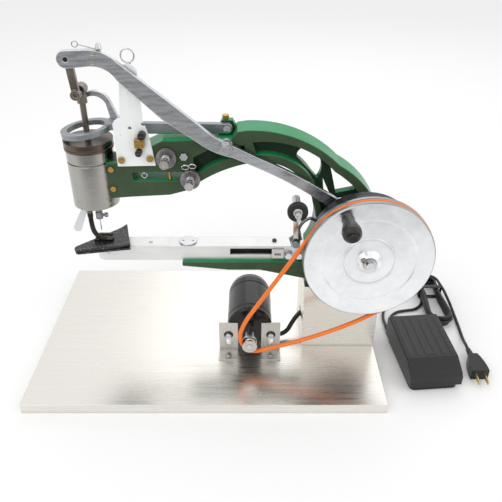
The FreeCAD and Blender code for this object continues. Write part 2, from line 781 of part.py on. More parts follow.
def make_needle():
    tip = leather_top + 11.0
    shank = z_rod(NEEDLE_R, needle_x, 0, tip + 5, clamp_bottom + 8)
    point = Part.makeCone(0.15, NEEDLE_R, 5, V(needle_x, 0, tip), Z_AXIS)
    return join(shank, point)


# Needle lever, its guide and its link

def make_needle_lever():
    ex, ez, px, pz, rx, rz = eye_x, eye_z, pivot_x, pivot_z, roller_x, roller_z
    blank = [
        (ex, ez - 10.5),
        ((ex - 10.5, ez), (ex - 3, ez + 10)),
        (ex + 21, ez + 11),
        ((ex + 43, ez + 8), (ex + 62, ez - 5)),
        (px - 63, pz + 55),
        (px - 31, pz + 28),
        ((px - 12, pz + 13), (px + 10, pz + 2)),
        (px + 44, pz - 15),
        ((px + 96, pz - 41), (rx + 4, rz + 9)),
        ((rx + 9.5, rz - 1), (rx, rz - 9)),
        ((px + 98, pz - 58), (px + 46, pz - 30)),
        (px + 8, pz - 13),
        ((px - 12, pz - 7), (px - 34, pz + 6)),
        (px - 78, pz + 37),
        (px - 128, pz + 85),
        ((ex + 45, ez - 12), (ex + 28, ez - 8)),
    ]
    body = slab(blank, lever_front, lever_back)
    roller_end = lever_front - CAM_GAP - (CAM_DEPTH - CAM_FLOOR) + 4
    roller = y_rod(ROLLER_R, rx, rz, roller_end, lever_front)
    body = join(body, roller)
    body = less(body, y_rod(LEVER_PIVOT_R + RUNNING, px, pz, -60, 0))
    body = less(body, y_rod(LINK_PIN_R + RUNNING, ex, ez, -60, 0))
    for x, z in guide_holes:
        body = less(body, y_rod(GUIDE_SCREW_R + SEAT, x, z, lever_front - 1, lever_front + 3))
    middle = (lever_front + lever_back) / 2
    return less(body, z_rod(GUIDE_STEM_R + SEAT, guide_x, middle, guide_z - 4, guide_z + 10))


def make_lever_guide():
    """Wire eye on top of the lever, with the knob that holds it and two screws in the lever's face."""
    middle = (lever_front + lever_back) / 2
    top = guide_z + 1.5
    knob = join(z_rod(GUIDE_STEM_R, guide_x, middle, guide_z - 4, top + 6),
                Part.makeCone(4.2, 2.6, 6, V(guide_x, middle, top + 2.4), Z_AXIS))
    eye = Part.makeTorus(3.4, 0.8, V(eye_x + 13, middle, eye_z + 17), Y_AXIS)
    wire = rod(0.8, (eye_x + 16.2, middle, eye_z + 16.5), (guide_x, middle, top + 1.2))
    foot = z_rod(3.2, guide_x, middle, top + 0.4, top + 2.6)
    pieces = [join(knob, eye, wire, foot)]
    for x, z in guide_holes:
        pieces.append(screw_head(GUIDE_SCREW_R, x, z, lever_front - 1.2, lever_front + 2.8))
    return Part.makeCompound(pieces)


def make_link():
    """The bent link from the lever's eye to the knuckle above the needle bar."""
    along = V(needle_x - eye_x, 0, knuckle_z - eye_z)
    side = V(along.z, 0, -along.x).normalize() * 4.6
    corners = [(eye_x + side.x, eye_z + side.z), (needle_x + side.x, knuckle_z + side.z),
               (needle_x - side.x, knuckle_z - side.z), (eye_x - side.x, eye_z - side.z)]
    bar = slab(corners, link_front, link_back)
    top = y_rod(7.0, eye_x, eye_z, link_front, link_back)
    knuckle = y_rod(6.2, needle_x, knuckle_z, link_front - 4, link_back)
    body = join(bar, top, knuckle)
    body = less(body, y_rod(LINK_PIN_R + SEAT, eye_x, eye_z, -60, 0))
    return less(body, y_rod(LINK_PIN_R + SEAT, needle_x, knuckle_z, link_front - 1, 20),
                y_rod(3.0, needle_x, knuckle_z, link_front - 5, link_front - 2))


def make_link_pins():
    upper = y_rod(LINK_PIN_R, eye_x, eye_z, lever_front + 1, link_back + 1)
    lower = y_rod(LINK_PIN_R, needle_x, knuckle_z, link_front - 1, SWIVEL_HALF + 1)
    return Part.makeCompound([upper, lower])


# Feed lever with its ring, and the strap that stands on it

def make_feed_lever():
    half = FEED_THICK / 2
    ring = Part.makeCylinder(FEED_RING_OUT, FEED_RING_HEIGHT, V(needle_x, 0, ring_z - FEED_RING_HEIGHT / 2))
    ring.rotate(V(needle_x, 0, ring_z), Y_AXIS, -FEED_TILT)
    hole = Part.makeCylinder(FEED_RING_IN, 40, V(needle_x, 0, ring_z - 20))
    hole.rotate(V(needle_x, 0, ring_z), Y_AXIS, -FEED_TILT)
    lug_x = needle_x + FEED_RING_OUT
    lug = box(lug_x - 6, lug_x + 12, -half - 4, strap_front + STRAP_THICK, lug_z - 9, lug_z)
    arm = slab([
        (needle_x + FEED_RING_OUT, lug_z - 9),
        (needle_x + 60, lug_z - 14),
        (needle_x + 85, lug_z - 15),
        (feed_x, feed_z - 6),
        ((feed_x + 7, feed_z), (feed_x, feed_z + 7)),
        (needle_x + 60, lug_z - 0.5),
        (needle_x + FEED_RING_OUT, lug_z),
    ], -half, half)
    body = less(join(ring, lug, arm), hole)
    return less(body, y_rod(FEED_PIN_R + RUNNING, feed_x, feed_z, -20, 20))


def make_arch_strap():
    left = needle_x - 2.0
    right = needle_x + FEED_RING_OUT + 7.0
    return slab([
        (left, lug_z + 31),
        ((left + 17, lug_z + 37), (right - 8, lug_z + 25)),
        (right, lug_z + 3),
        (right + 4, lug_z + 3),
        (right + 4, lug_z),
        (right - 9, lug_z),
        (right - 13, lug_z + 20),
        ((left + 16, lug_z + 30.5), (left, lug_z + 24)),
    ], strap_front, strap_front + STRAP_THICK)


# Thread plate, wires, tension units and small fittings

def make_thread_plate():
    blank = slab([
        (needle_x + 40, bed + 127),
        (needle_x + 90, bed + 128),
        (needle_x + 85, bed + 163),
        ((needle_x + 82, bed + 176), (needle_x + 78, bed + 188)),
        (needle_x + 77, bed + 250),
        ((needle_x + 66, bed + 259), (needle_x + 55, bed + 250)),
        (needle_x + 50, bed + 192),
        ((needle_x + 42, bed + 188), (needle_x + 40, bed + 178)),
    ], plate_front, plate_back)
    for x, z in plate_holes:
        blank = less(blank, y_rod(PLATE_SCREW_R + SEAT, x, z, -60, 0))
    for across, up, r in ((61, 179, 2.2), (50, 170, 1.4), (78, 184, 2.6)):
        blank = less(blank, y_rod(r, needle_x + across, bed + up, -60, 0))
    for x, z, r in regulator_places:
        blank = less(blank, y_rod(REGULATOR_STEM_R + SEAT, x, z, -60, 0))
    return blank


def make_thread_wires():
    """The eye above the plate, the bow beside the lower tension, and the eye in the window."""
    behind = plate_back + 1.1
    eye = Part.makeTorus(8.0, 1.1, V(plate_eye_x, behind, plate_eye_z), Y_AXIS)
    stem = rod(1.1, (plate_eye_x + 2, behind, plate_eye_z - 7.6), (plate_eye_x + 5, behind, plate_eye_z - 22))
    bow_x, bow_z = needle_x + 133.0, bed + 128.0
    loops = [Part.makeTorus(4.6, 0.9, V(bow_x + side, frame_front - 6, bow_z + side * 0.15), V(0, 1, 0.6))
             for side in (-4.6, 4.6)]
    post = y_rod(1.1, bow_x, bow_z, frame_front - 7, frame_front)
    hang_x, hang_z = needle_x + 72.0, bed + 110.6
    ring = Part.makeTorus(3.6, 1.0, V(hang_x, -FRAME_HALF + 6, hang_z), Y_AXIS)
    hook = z_rod(1.0, hang_x, -FRAME_HALF + 6, hang_z + 3.6, bed + 118)
    return Part.makeCompound([join(eye, stem), join(loops[0], loops[1], post), join(ring, hook)])


def make_brass_fittings():
    pieces = []
    for x, z in plate_holes:
        pieces.append(join(screw_head(4.4, x, z, plate_front - 2.4, plate_front),
                           y_rod(PLATE_SCREW_R, x, z, plate_front, plate_back)))
    for x, z in ((needle_x + 30.0, bed + 122.0), (needle_x + 30.0, bed + 94.0)):
        pieces.append(screw_head(3.8, x, z, frame_front - 2.0, frame_front))
    pieces.append(join(z_rod(3.0, feed_x - 2, FRAME_HALF - 10, cheek_top, cheek_top + 2),
                       z_rod(4.6, feed_x - 2, FRAME_HALF - 10, cheek_top + 2, cheek_top + 6)))
    pin_x = needle_x + 106.0
    pieces.append(z_rod(1.8, pin_x, -FRAME_HALF + 4, bed + 105, bed + 118))
    block = box(block_x - 6, block_x + 6, plate_front - 8, plate_front, block_z - 5, block_z + 6)
    pieces.append(block)
    return Part.makeCompound(pieces)


def make_black_screws():
    """Dark screws of the regulator, the motor brackets and the shuttle arm."""
    pieces = []
    for x, z, r in regulator_places:
        pieces.append(join(screw_head(r, x, z, plate_front - 9, plate_front, 1.6),
                           y_rod(REGULATOR_STEM_R, x, z, plate_front, plate_back)))
    for side in (-1, 1):
        x = MOTOR_X + side * BRACKET_SPREAD
        washer = Part.makeCone(7.0, 4.4, 2.6, V(x, bracket_front, bracket_screw_z), V(0, -1, 0))
        hole = y_rod(BRACKET_SCREW_R + SEAT, x, bracket_screw_z, bracket_front - 9, bracket_front + 9)
        pieces.append(less(washer, hole))
    pieces.append(z_rod(3.2, arm_screw[0], arm_screw[1], bed, bed + 2.2))
    return Part.makeCompound(pieces)


def make_tension_discs():
    pieces = []
    for x, z in tension_places:
        for near, bulge in ((frame_front - 2.2, 0.8), (frame_front - 5.2, -0.8)):
            disc = turned([(TENSION_POST_R + SEAT, near), (TENSION_R * 0.6, near),
                           (TENSION_R, near + bulge), (TENSION_R, near - 1 + bulge),
                           (TENSION_R * 0.6, near - 1), (TENSION_POST_R + SEAT, near - 1)], x, z)
            pieces.append(disc)
        pieces.append(y_tube(4.5, TENSION_POST_R + SEAT, x, z, frame_front - 2.2, frame_front))
        pieces.append(y_tube(4.5, TENSION_POST_R + SEAT, x, z, frame_front - 5.2, frame_front - 3.2))
    return Part.makeCompound(pieces)


def make_tension_springs():
    pieces = []
    for x, z in tension_places:
        near, far = nut_back + SPRING_SEAT, disc_front - SPRING_SEAT
        spring, line = coil(x, z, near, far, TENSION_SPRING_R, 4, SPRING_WIRE_R)
        pieces.append(spring)
    print("tension spring least gap", round(least_gap(line, 3, SPRING_WIRE_R), 2))
    return Part.makeCompound(pieces)


def make_tension_nut(x, z):
    body = y_tube(TENSION_NUT_R, TENSION_POST_R + RUNNING, x, z, nut_back - TENSION_NUT, nut_back)
    for k in range(10):
        angle = 2 * math.pi * k / 10
        edge_x = x + TENSION_NUT_R * math.cos(angle)
        edge_z = z + TENSION_NUT_R * math.sin(angle)
        body = less(body, y_rod(0.8, edge_x, edge_z, nut_back - TENSION_NUT - 1, nut_back - 2))
    return body


def bolt_up(x, y, z):
    """A hexagon bolt with its washer, standing in the casting's foot."""
    washer = z_rod(8.0, x, y, z, z + 1.6)
    sixths = [math.pi * k / 3 for k in range(6)]
    head = plate([(x + 6.6 * math.cos(a), y + 6.6 * math.sin(a)) for a in sixths], z + 1.6, z + 7)
    return join(washer, head, z_rod(FOOT_BOLT_R, x, y, deck, z + 1.6))


def make_steel_bolts():
    pieces = [bolt_up(x, y, deck + FOOT_THICK) for x, y in foot_bolts]
    # Lever's pivot bolt with its spacer and nut.
    pivot = join(y_rod(LEVER_PIVOT_R, pivot_x, pivot_z, lever_front - 8, FRAME_HALF),
                 y_rod(9.0, pivot_x, pivot_z, lever_back + CLEAR, frame_front),
                 y_rod(8.6, pivot_x, pivot_z, lever_front - CLEAR - 1.6, lever_front - CLEAR),
                 hexagon(8.0, pivot_x, pivot_z, lever_front - CLEAR - 6.6, lever_front - CLEAR - 1.6))
    pieces.append(pivot)
    # Feed lever's pin, and the hexagon head on the neck.
    pieces.append(join(y_rod(FEED_PIN_R, feed_x, feed_z, -FEED_THICK / 2 - CLEAR, FRAME_HALF - 4),
                       y_rod(5.0, feed_x, feed_z, -FEED_THICK / 2 - CLEAR - 2, -FEED_THICK / 2 - CLEAR)))
    pieces.append(hexagon(5.4, needle_x + 127, bed + 141, frame_front - 5, frame_front))
    for x, z in tension_places:
        pieces.append(y_rod(TENSION_POST_R, x, z, frame_front - TENSION_POST, frame_front + POST_DEPTH))
    for x in arm_bolts:
        pieces.append(join(hexagon(5.4, x, arm_bolt_z, -arm_half - 6, -arm_half - 1.4),
                           y_rod(6.4, x, arm_bolt_z, -arm_half - 1.4, -arm_half)))
    # Motor bracket screws and their foot screws.
    for side in (-1, 1):
        x = MOTOR_X + side * BRACKET_SPREAD
        pieces.append(join(y_rod(BRACKET_SCREW_R, x, bracket_screw_z, bracket_front - 2.6, motor_front + 6),
                           screw_head(4.4, x, bracket_screw_z, bracket_front - 5, bracket_front - 2.6)))
        pieces.append(z_rod(4.0, x, bracket_front - BRACKET_FOOT * 0.55, tray_top + BRACKET_THICK,
                            tray_top + BRACKET_THICK + 2.2))
    for x in (pedestal_left + SHEET + PEDESTAL_FLANGE / 2, pedestal_right - SHEET - PEDESTAL_FLANGE / 2):
        for y in (pedestal_front + 20, pedestal_back - 20):
            pieces.append(z_rod(4.0, x, y, tray_top + SHEET, tray_top + SHEET + 2.4))
    return Part.makeCompound(pieces)


# Shuttle arm

def tip_plan(left, half, right):
    return [(right, -half), (right, half), (left + half, half), ((left, 0), (left + half, -half))]


def make_shuttle_arm():
    body = plate(tip_plan(arm_left, arm_half, arm_right), arm_floor, bed)
    hollow = tip_plan(arm_left + ARM_WALL, arm_half - ARM_WALL, arm_bolts[0] - 12)
    body = less(body, plate(hollow, arm_floor + ARM_WALL, bed - ARM_WALL - 1))
    body = less(body, plate(tip_plan(arm_left + ARM_WALL, arm_half - ARM_WALL, plate_right - 4),
                            arm_floor + ARM_WALL, bed - NEEDLE_PLATE))
    body = less(body, plate(tip_plan(arm_left + PLATE_LEDGE, arm_half - PLATE_LEDGE, plate_right),
                            bed - NEEDLE_PLATE, bed + 1))
    slot = box(shaft_x - 182, arm_bolts[0] - 22, -arm_half - 1, -arm_half + ARM_WALL + 1, bed - 14, bed - 4)
    body = less(body, slot)
    body = less(body, y_rod(SHUTTLE_SPINDLE_R + RUNNING, shuttle_x, shuttle_z, -arm_half - 1, arm_half + 1))
    return less(body, z_rod(COVER_PIN_R + RUNNING, cover_x, 0, bed - ARM_WALL - 2, bed + 1))


def make_needle_plate():
    inset = PLATE_LEDGE + SEAT
    blank = plate(tip_plan(arm_left + inset, arm_half - inset, plate_right - SEAT), bed - NEEDLE_PLATE, bed)
    screw = z_rod(3.2, needle_x + 69, -2, bed - 1, bed + 1)
    slot = less(screw, box(needle_x + 60, needle_x + 80, -2.6, -1.4, bed - 2, bed + 2))
    return less(blank, z_rod(2.2, needle_x, 0, bed - 10, bed + 1), slot)


def make_swing_cover():
    disc = z_rod(COVER_R, cover_x, 0, bed + 0.05, bed + COVER_THICK)
    pin = z_rod(COVER_PIN_R, cover_x, 0, bed - ARM_WALL, bed + 0.05)
    body = join(disc, pin)
    for side in (-7.0, 7.0):
        body = less(body, z_rod(1.3, cover_x + side, 0, bed - 1, bed + COVER_THICK + 1))
    return body


def make_shuttle():
    near, far = -9.5, -2.0
    cup = y_tube(SHUTTLE_R, SHUTTLE_SPINDLE_R + SEAT, shuttle_x, shuttle_z, near, far)
    room = y_tube(SHUTTLE_R - 1.4, SHUTTLE_SPINDLE_R + 0.6, shuttle_x, shuttle_z, near - 1, far - 1.4)
    mouth = box(shuttle_x - SHUTTLE_R - 1, shuttle_x - 2.5, near - 1, far - 1.5, shuttle_z + 1, shuttle_z + 4)
    return less(cup, room, mouth)


def make_bobbin():
    near, far = -9.2, -3.8
    core = SHUTTLE_SPINDLE_R + 0.6 + CLEAR
    wide = SHUTTLE_R - 1.4 - CLEAR
    return turned([(core, near), (wide, near), (wide, near + 0.7), (core + 0.6, near + 0.7),
                   (core + 0.6, far - 0.7), (wide, far - 0.7), (wide, far), (core, far)],
                  shuttle_x, shuttle_z)


def make_pinion():
    spindle = y_rod(SHUTTLE_SPINDLE_R, shuttle_x, shuttle_z, -arm_half + 0.5, arm_half - 0.5)
    body = join(spindle, y_rod(PINION_R - 1.1 * module, shuttle_x, shuttle_z, rack_y, rack_y + PINION_WIDTH))
    tip = PINION_R + 0.7 * module
    root = PINION_R - 1.4 * module
    tooth = slab([(shuttle_x - 0.55 * module, shuttle_z - root), (shuttle_x - 0.3 * module, shuttle_z - tip),
                  (shuttle_x + 0.3 * module, shuttle_z - tip), (shuttle_x + 0.55 * module, shuttle_z - root)],
                 rack_y, rack_y + PINION_WIDTH)
    teeth = []
    for k in range(PINION_TEETH):
        copy = tooth.copy()
        copy.rotate(V(shuttle_x, 0, shuttle_z), Y_AXIS, 360.0 * (k + 0.5) / PINION_TEETH)
        teeth.append(copy)
    return join(body, *teeth)


def make_rack():
    """The bar in the arm that turns the shuttle, with its teeth under the pinion."""
    low = arm_floor + ARM_WALL + CLEAR
    root = rack_line - 1.2 * module
    tip = rack_line + 0.7 * module
    left = shuttle_x - RACK_TRAVEL - 1.2
    right = arm_bolts[0] - 12 - RACK_TRAVEL - 2
    body = box(left, right, rack_y, rack_y + PINION_WIDTH, low, root)
    pitch = math.pi * module
    reach = int((RACK_TRAVEL + 2) / pitch)
    teeth = []
    for k in range(-reach, reach + 1):
        x = shuttle_x + k * pitch
        teeth.append(slab([(x - 0.6 * module, root - 0.2), (x - 0.3 * module, tip),
                           (x + 0.3 * module, tip), (x + 0.6 * module, root - 0.2)],
                          rack_y, rack_y + PINION_WIDTH))
    return join(body, *teeth)


def make_rack_bracket():
    """The slotted stop on the arm's face at the end of the open slot."""
    x1 = arm_bolts[0] - 7
    x0 = x1 - 17
    body = box(x0, x1, -arm_half - 2.5, -arm_half, arm_floor + 4, bed - 4)
    slot = box(x0 + 4, x1 - 4, -arm_half - 4, -arm_half + 1, arm_floor + 9, arm_floor + 13)
    return less(body, slot)


# Shaft, cam, wheel and crank

def make_main_shaft():
    bush_end = FRAME_HALF + BOSS_PROUD + BUSH_FLANGE
    body = y_rod(SHAFT_R, shaft_x, shaft_z, hub_front, bush_end + 8)
    nose = y_rod(SHAFT_NOSE_R, shaft_x, shaft_z, hub_front - SHAFT_NOSE, hub_front)
    collar = y_rod(SHAFT_R + 5, shaft_x, shaft_z, bush_end + CLEAR, bush_end + 6)
    return join(body, nose, collar)


def make_shaft_bush():
    outer = SHAFT_R + RUNNING + BUSH_WALL
    half = FRAME_HALF + BOSS_PROUD
    body = y_rod(outer, shaft_x, shaft_z, -half, half)
    flange = y_rod(outer + 3, shaft_x, shaft_z, half, half + BUSH_FLANGE)
    return less(join(body, flange), y_rod(SHAFT_R + RUNNING, shaft_x, shaft_z, -60, 60))


def make_cam_drum():
    track_out = CAM_R - CAM_RIM
    drum = turned([(SHAFT_R + SEAT, cam_front), (CAM_R, cam_front), (CAM_R, cam_back), (track_out, cam_back),
                   (track_out, cam_front + CAM_FLOOR), (CAM_HUB_R, cam_front + CAM_FLOOR),
                   (CAM_HUB_R, cam_back), (SHAFT_R + SEAT, cam_back)], shaft_x, shaft_z)
    return drum


def make_hand_wheel():
    web_front = wheel_front + 1.2
    web_back = wheel_front + WHEEL_WEB
    rim_in = WHEEL_R - WHEEL_RIM
    hub_back = cam_front - CLEAR
    ring = WHEEL_R * 0.73
    step = WHEEL_R * 0.39
    profile = [
        (SHAFT_R + SEAT, hub_front + 1), (WHEEL_HUB_R * 0.6, hub_front), (WHEEL_HUB_R - 4, hub_front + 2),
        (WHEEL_HUB_R, wheel_front + 0.6), (step - 1.2, wheel_front + 0.6), (step - 0.6, wheel_front + 1.2),
        (step, wheel_front + 0.6), (step + 1.4, wheel_front + 0.6), (step + 2, web_front),
        (ring - 2, web_front), (ring, wheel_front), (WHEEL_R - 1.5, wheel_front),
        (WHEEL_R, wheel_front + 1.5), (WHEEL_R, wheel_back - 1.5),
        (WHEEL_R - 1.5, wheel_back), (rim_in, wheel_back),
        (rim_in, web_back), (WHEEL_HUB_R, web_back), (WHEEL_HUB_R, hub_back), (SHAFT_R + SEAT, hub_back)]
    body = turned(profile, shaft_x, shaft_z)
    groove = Part.makeTorus(wheel_belt_r, BELT_R + CLEAR, V(shaft_x, belt_y, shaft_z), Y_AXIS)
    slack = BELT_R + CLEAR
    throat = y_tube(WHEEL_R + 1, wheel_belt_r, shaft_x, shaft_z, belt_y - slack, belt_y + slack)
    seat = y_rod(SPINDLE_R + SEAT, crank_x, crank_z, wheel_front - 1, wheel_front + WHEEL_WEB - 2)
    return less(body, groove, throat, seat)


def make_crank_spindle():
    start = wheel_front + WHEEL_WEB - 2
    collar = wheel_front - SPINDLE_COLLAR
    body = join(y_rod(SPINDLE_R, crank_x, crank_z, collar, start),
                y_rod(7.0, crank_x, crank_z, collar, wheel_front - CLEAR),
                y_rod(SPINDLE_R - 1, crank_x, crank_z, grip_end - 2.0, collar))
    return join(body, y_rod(5.4, crank_x, crank_z, grip_end - 3.5, grip_end - CLEAR))


def make_crank_grip():
    """A turned grip that swells towards its free end."""
    length = GRIP_LENGTH
    bore = SPINDLE_R - 1 + RUNNING
    shape = [(bore, 0.0), (7.4, 0.0), (8.2, 0.08), (7.6, 0.2), (8.6, 0.38), (10.6, 0.56), (GRIP_R, 0.74),
             (GRIP_R - 0.6, 0.88), (GRIP_R - 3.2, 0.97), (GRIP_R - 6.0, 1.0), (bore, 1.0)]
    return turned([(r, grip_start - share * length) for r, share in shape], crank_x, crank_z)


# Belt and motor

def make_belt():
    """The round belt, a little slack: seated on the wheel and at one place on the pulley."""
    def heading(angle):
        return V(math.cos(math.radians(angle)), 0, math.sin(math.radians(angle)))

    wheel = V(shaft_x, belt_y, shaft_z)
    pulley = V(MOTOR_X, belt_y, motor_z)
    # The rising run leaves the loop over the pulley and meets the wheel's groove as a tangent.
    loop_top = pulley + V(BELT_LOOP_SHIFT, 0, BELT_LOOP_RISE)
    apart = wheel - loop_top
    rise = math.degrees(math.atan2(apart.z, apart.x) + math.asin(wheel_belt_r / apart.Length))
    meets = loop_top + heading(rise) * math.sqrt(apart.Length ** 2 - wheel_belt_r ** 2)
    leaves = wheel + heading(BELT_LEAVES) * wheel_belt_r
    crest = wheel + heading((rise + 90 + BELT_LEAVES) / 2) * wheel_belt_r
    # The lower run hangs to a dip beside the pulley and turns up round it.
    dip = pulley + V(BELT_DIP_REACH, 0, -BELT_DIP)
    dip_way = heading(180 + BELT_DIP_SLOPE)
    seat = pulley + heading(BELT_SEAT) * PULLEY_BELT_R
    seat_way = heading(BELT_SEAT - 90)
    middle = (loop_top + meets) * 0.5
    edges = [Part.makeLine(middle, meets), Part.Arc(meets, crest, leaves).toShape()]
    edges += biarc(leaves, heading(BELT_LEAVES - 90), dip, dip_way)
    edges += biarc(dip, dip_way, seat, seat_way)
    edges += biarc(seat, seat_way, loop_top, heading(rise))
    edges.append(Part.makeLine(loop_top, middle))
    return tube(edges, BELT_R, middle, heading(rise))


def make_motor_housing():
    back = motor_back
    inner = MOTOR_R - MOTOR_WALL
    shell = turned([
        (ROTOR_SHAFT_R + RUNNING, motor_front), (MOTOR_R - 2, motor_front), (MOTOR_R, motor_front + 3),
        (MOTOR_R, motor_front + 12), (MOTOR_R - 0.8, motor_front + 12.6), (MOTOR_R - 0.8, motor_front + 14),
        (MOTOR_R, motor_front + 14.6), (MOTOR_R, back - 34), (MOTOR_R - 0.8, back - 33.4),
        (MOTOR_R - 0.8, back - 32), (MOTOR_R, back - 31.4), (MOTOR_R, back - 20), (MOTOR_R - 3, back - 9),
        (MOTOR_R - 10, back - 2), (MOTOR_R - 16, back), (0, back), (0, back - 5),
        (ROTOR_SHAFT_R + RUNNING, back - 5), (ROTOR_SHAFT_R + RUNNING, back - 16),
        (inner - 10, back - 16), (inner, back - 24),
        (inner, motor_front + 5), (ROTOR_SHAFT_R + RUNNING, motor_front + 5)], MOTOR_X, motor_z)
    for side in (-1, 1):
        x = MOTOR_X + side * BRACKET_SPREAD
        ear = y_rod(MOTOR_EAR_R, x, bracket_screw_z, motor_front, motor_front + 10)
        shell = join(shell, less(ear, y_rod(inner + 1, MOTOR_X, motor_z, -200, 200)))
    gland = rod(4.2, gland_root, gland_end)
    shell = join(shell, gland)
    for side in (-1, 1):
        x = MOTOR_X + side * BRACKET_SPREAD
        screw_hole = y_rod(BRACKET_SCREW_R + SEAT, x, bracket_screw_z, motor_front - 1, motor_front + 6)
        shell = less(shell, screw_hole)
    return shell


def make_motor_field():
    outer = MOTOR_R - MOTOR_WALL - SEAT
    half = FIELD_LENGTH / 2
    return y_tube(outer, ROTOR_R + 1.0, MOTOR_X, motor_z, field_middle - half, field_middle + half)


def make_motor_rotor():
    half = FIELD_LENGTH / 2
    return join(y_rod(ROTOR_SHAFT_R, MOTOR_X, motor_z, pulley_front - 1, motor_back - 5.5),
                y_rod(ROTOR_R, MOTOR_X, motor_z, field_middle - half, field_middle + half),
                y_rod(11.0, MOTOR_X, motor_z, field_middle + half, field_middle + half + 8))


def make_motor_pulley():
    flange = PULLEY_BELT_R + 1.5
    body = turned([(ROTOR_SHAFT_R + SEAT, pulley_front), (flange, pulley_front), (flange, pulley_back),
                   (PULLEY_HUB_R, pulley_back), (PULLEY_HUB_R, bracket_front - 6),
                   (ROTOR_SHAFT_R + SEAT, bracket_front - 6)], MOTOR_X, motor_z)
    groove = Part.makeTorus(PULLEY_BELT_R, BELT_R + CLEAR, V(MOTOR_X, belt_y, motor_z), Y_AXIS)
    slack = BELT_R + CLEAR
    throat = y_tube(flange + 1, PULLEY_BELT_R, MOTOR_X, motor_z, belt_y - slack, belt_y + slack)
    return less(body, groove, throat)


def make_motor_bracket(side):
    """An angle of steel sheet with a tall slot for the motor's screw and a foot on the tray."""
    x = MOTOR_X + side * BRACKET_SPREAD
    half = BRACKET_WIDTH / 2
    wall = box(x - half, x + half, bracket_front, motor_front, tray_top, tray_top + BRACKET_HEIGHT)
    foot = box(x - half, x + half, bracket_front - BRACKET_FOOT, bracket_front,
               tray_top, tray_top + BRACKET_THICK)
    body = join(wall, foot)
    wide = BRACKET_SLOT / 2
    slot = join(y_rod(wide, x, bracket_screw_z, bracket_front - 1, motor_front + 1),
                y_rod(wide, x, tray_top + 12, bracket_front - 1, motor_front + 1),
                box(x - wide, x + wide, bracket_front - 1, motor_front + 1, tray_top + 12, bracket_screw_z))
    return less(body, slot)


# Bobbin winder

def make_winder_bracket():
    """The bent rod from the frame and the wing that the winder's arm turns on."""
    px, pz = winder_pivot
    behind = winder_y + WINDER_WING / 2 + WINDER_ROD_R - 0.6
    route = [
        (winder_root[0], frame_front + POST_DEPTH, winder_root[2]),
        (winder_root[0], frame_front - 12, winder_root[2]),
        (winder_root[0] - 12, behind + 4, winder_root[2] + 12),
        (px + 6, behind, pz + 24),
        (px + 2, behind, pz + 8),
    ]
    edges, radii = routed(route)
    wire = tube(edges, WINDER_ROD_R, V(*route[0]), V(*route[1]) - V(*route[0]))
    wing = slab([(px - 9, pz + 4), (px + 6, pz + 16), (px + 9, pz + 2), (px - 5, pz - 9)],
                winder_y - WINDER_WING / 2, winder_y + WINDER_WING / 2)
    stud = y_rod(WINDER_PIVOT_R, px, pz, winder_y - 10, winder_y)
    head = y_rod(5.2, px, pz, winder_y - 12, winder_y - 10)
    return join(wire, wing, stud, head)


def make_winder_arm():
    px, pz = winder_pivot
    ax, az = winder_axis
    back = winder_back
    front = back - 6
    side = V(az - pz, 0, px - ax).normalize() * 3.4
    bar = slab([(px + side.x, pz + side.z), (ax + side.x, az + side.z),
                (ax - side.x, az - side.z), (px - side.x, pz - side.z)], front, back)
    boss = y_rod(6.2, px, pz, front, back)
    sleeve = y_rod(5.4, ax, az, belt_y + 6, back)
    body = join(bar, boss, sleeve)
    return less(body, y_rod(WINDER_PIVOT_R + RUNNING, px, pz, -100, 0),
                y_rod(WINDER_SPINDLE_R + RUNNING, ax, az, -120, 0))


def make_winder_wheel():
    ax, az = winder_axis
    tyre = turned([(0, belt_y - 4), (5.4, belt_y - 4), (6.4, belt_y - 3), (WINDER_WHEEL_R - 1.5, belt_y - 4),
                   (WINDER_WHEEL_R, belt_y - 2.5), (WINDER_WHEEL_R, belt_y + 2.5),
                   (WINDER_WHEEL_R - 1.5, belt_y + 4), (0, belt_y + 4)], ax, az)
    spindle = y_rod(WINDER_SPINDLE_R, ax, az, belt_y - 24, winder_back + 1.5)
    boss = y_rod(4.2, ax, az, belt_y - 12, belt_y - 4)
    tail = y_rod(4.4, ax, az, belt_y + 4, belt_y + 6 - CLEAR)
    return join(tyre, spindle, boss, tail)


# Foot pedal, drawn square and then turned into place

def pedal_place(shape):
    shape.rotate(V(0, 0, 0), Z_AXIS, PEDAL_TURN)
    shape.translate(V(PEDAL_X, PEDAL_Y, 0))
    return shape


def pedal_point(x, y, z):
    turn = math.radians(PEDAL_TURN)
    across = x * math.cos(turn) - y * math.sin(turn)
    along = x * math.sin(turn) + y * math.cos(turn)
    return (PEDAL_X + across, PEDAL_Y + along, z)


def make_pedal_base():
    half = PEDAL_WIDTH / 2 - PEDAL_WALL - PEDAL_SIDE_GAP
    long = PEDAL_LENGTH / 2 - PEDAL_WALL - PEDAL_SIDE_GAP
    body = box(-half, half, -long, long, 0, PEDAL_BASE_HEIGHT)
    upright = [edge for edge in body.Edges if abs(edge.tangentAt(0).z) > 0.9]
    body = body.makeFillet(8.0, upright)
    room = box(-half + 3, half - 3, -long + 3, hinge_y - 8, PEDAL_FLOOR, PEDAL_BASE_HEIGHT + 1)
    body = less(body, room)
    spring_seat = z_rod(PEDAL_SPRING_R + 2, 0, pedal_spring_y, PEDAL_FLOOR, PEDAL_SEAT)
    body = join(body, spring_seat)
    for x in gland_places:
        gland = rod(GLAND_R, (x, long - 1, GLAND_HEIGHT), (x, PEDAL_LENGTH / 2 + GLAND_LENGTH, GLAND_HEIGHT))
        body = join(body, gland)
    pin_hole = rod(PEDAL_PIN_R + RUNNING, (-half - 1, hinge_y, hinge_z), (half + 1, hinge_y, hinge_z))
    return pedal_place(less(body, pin_hole))


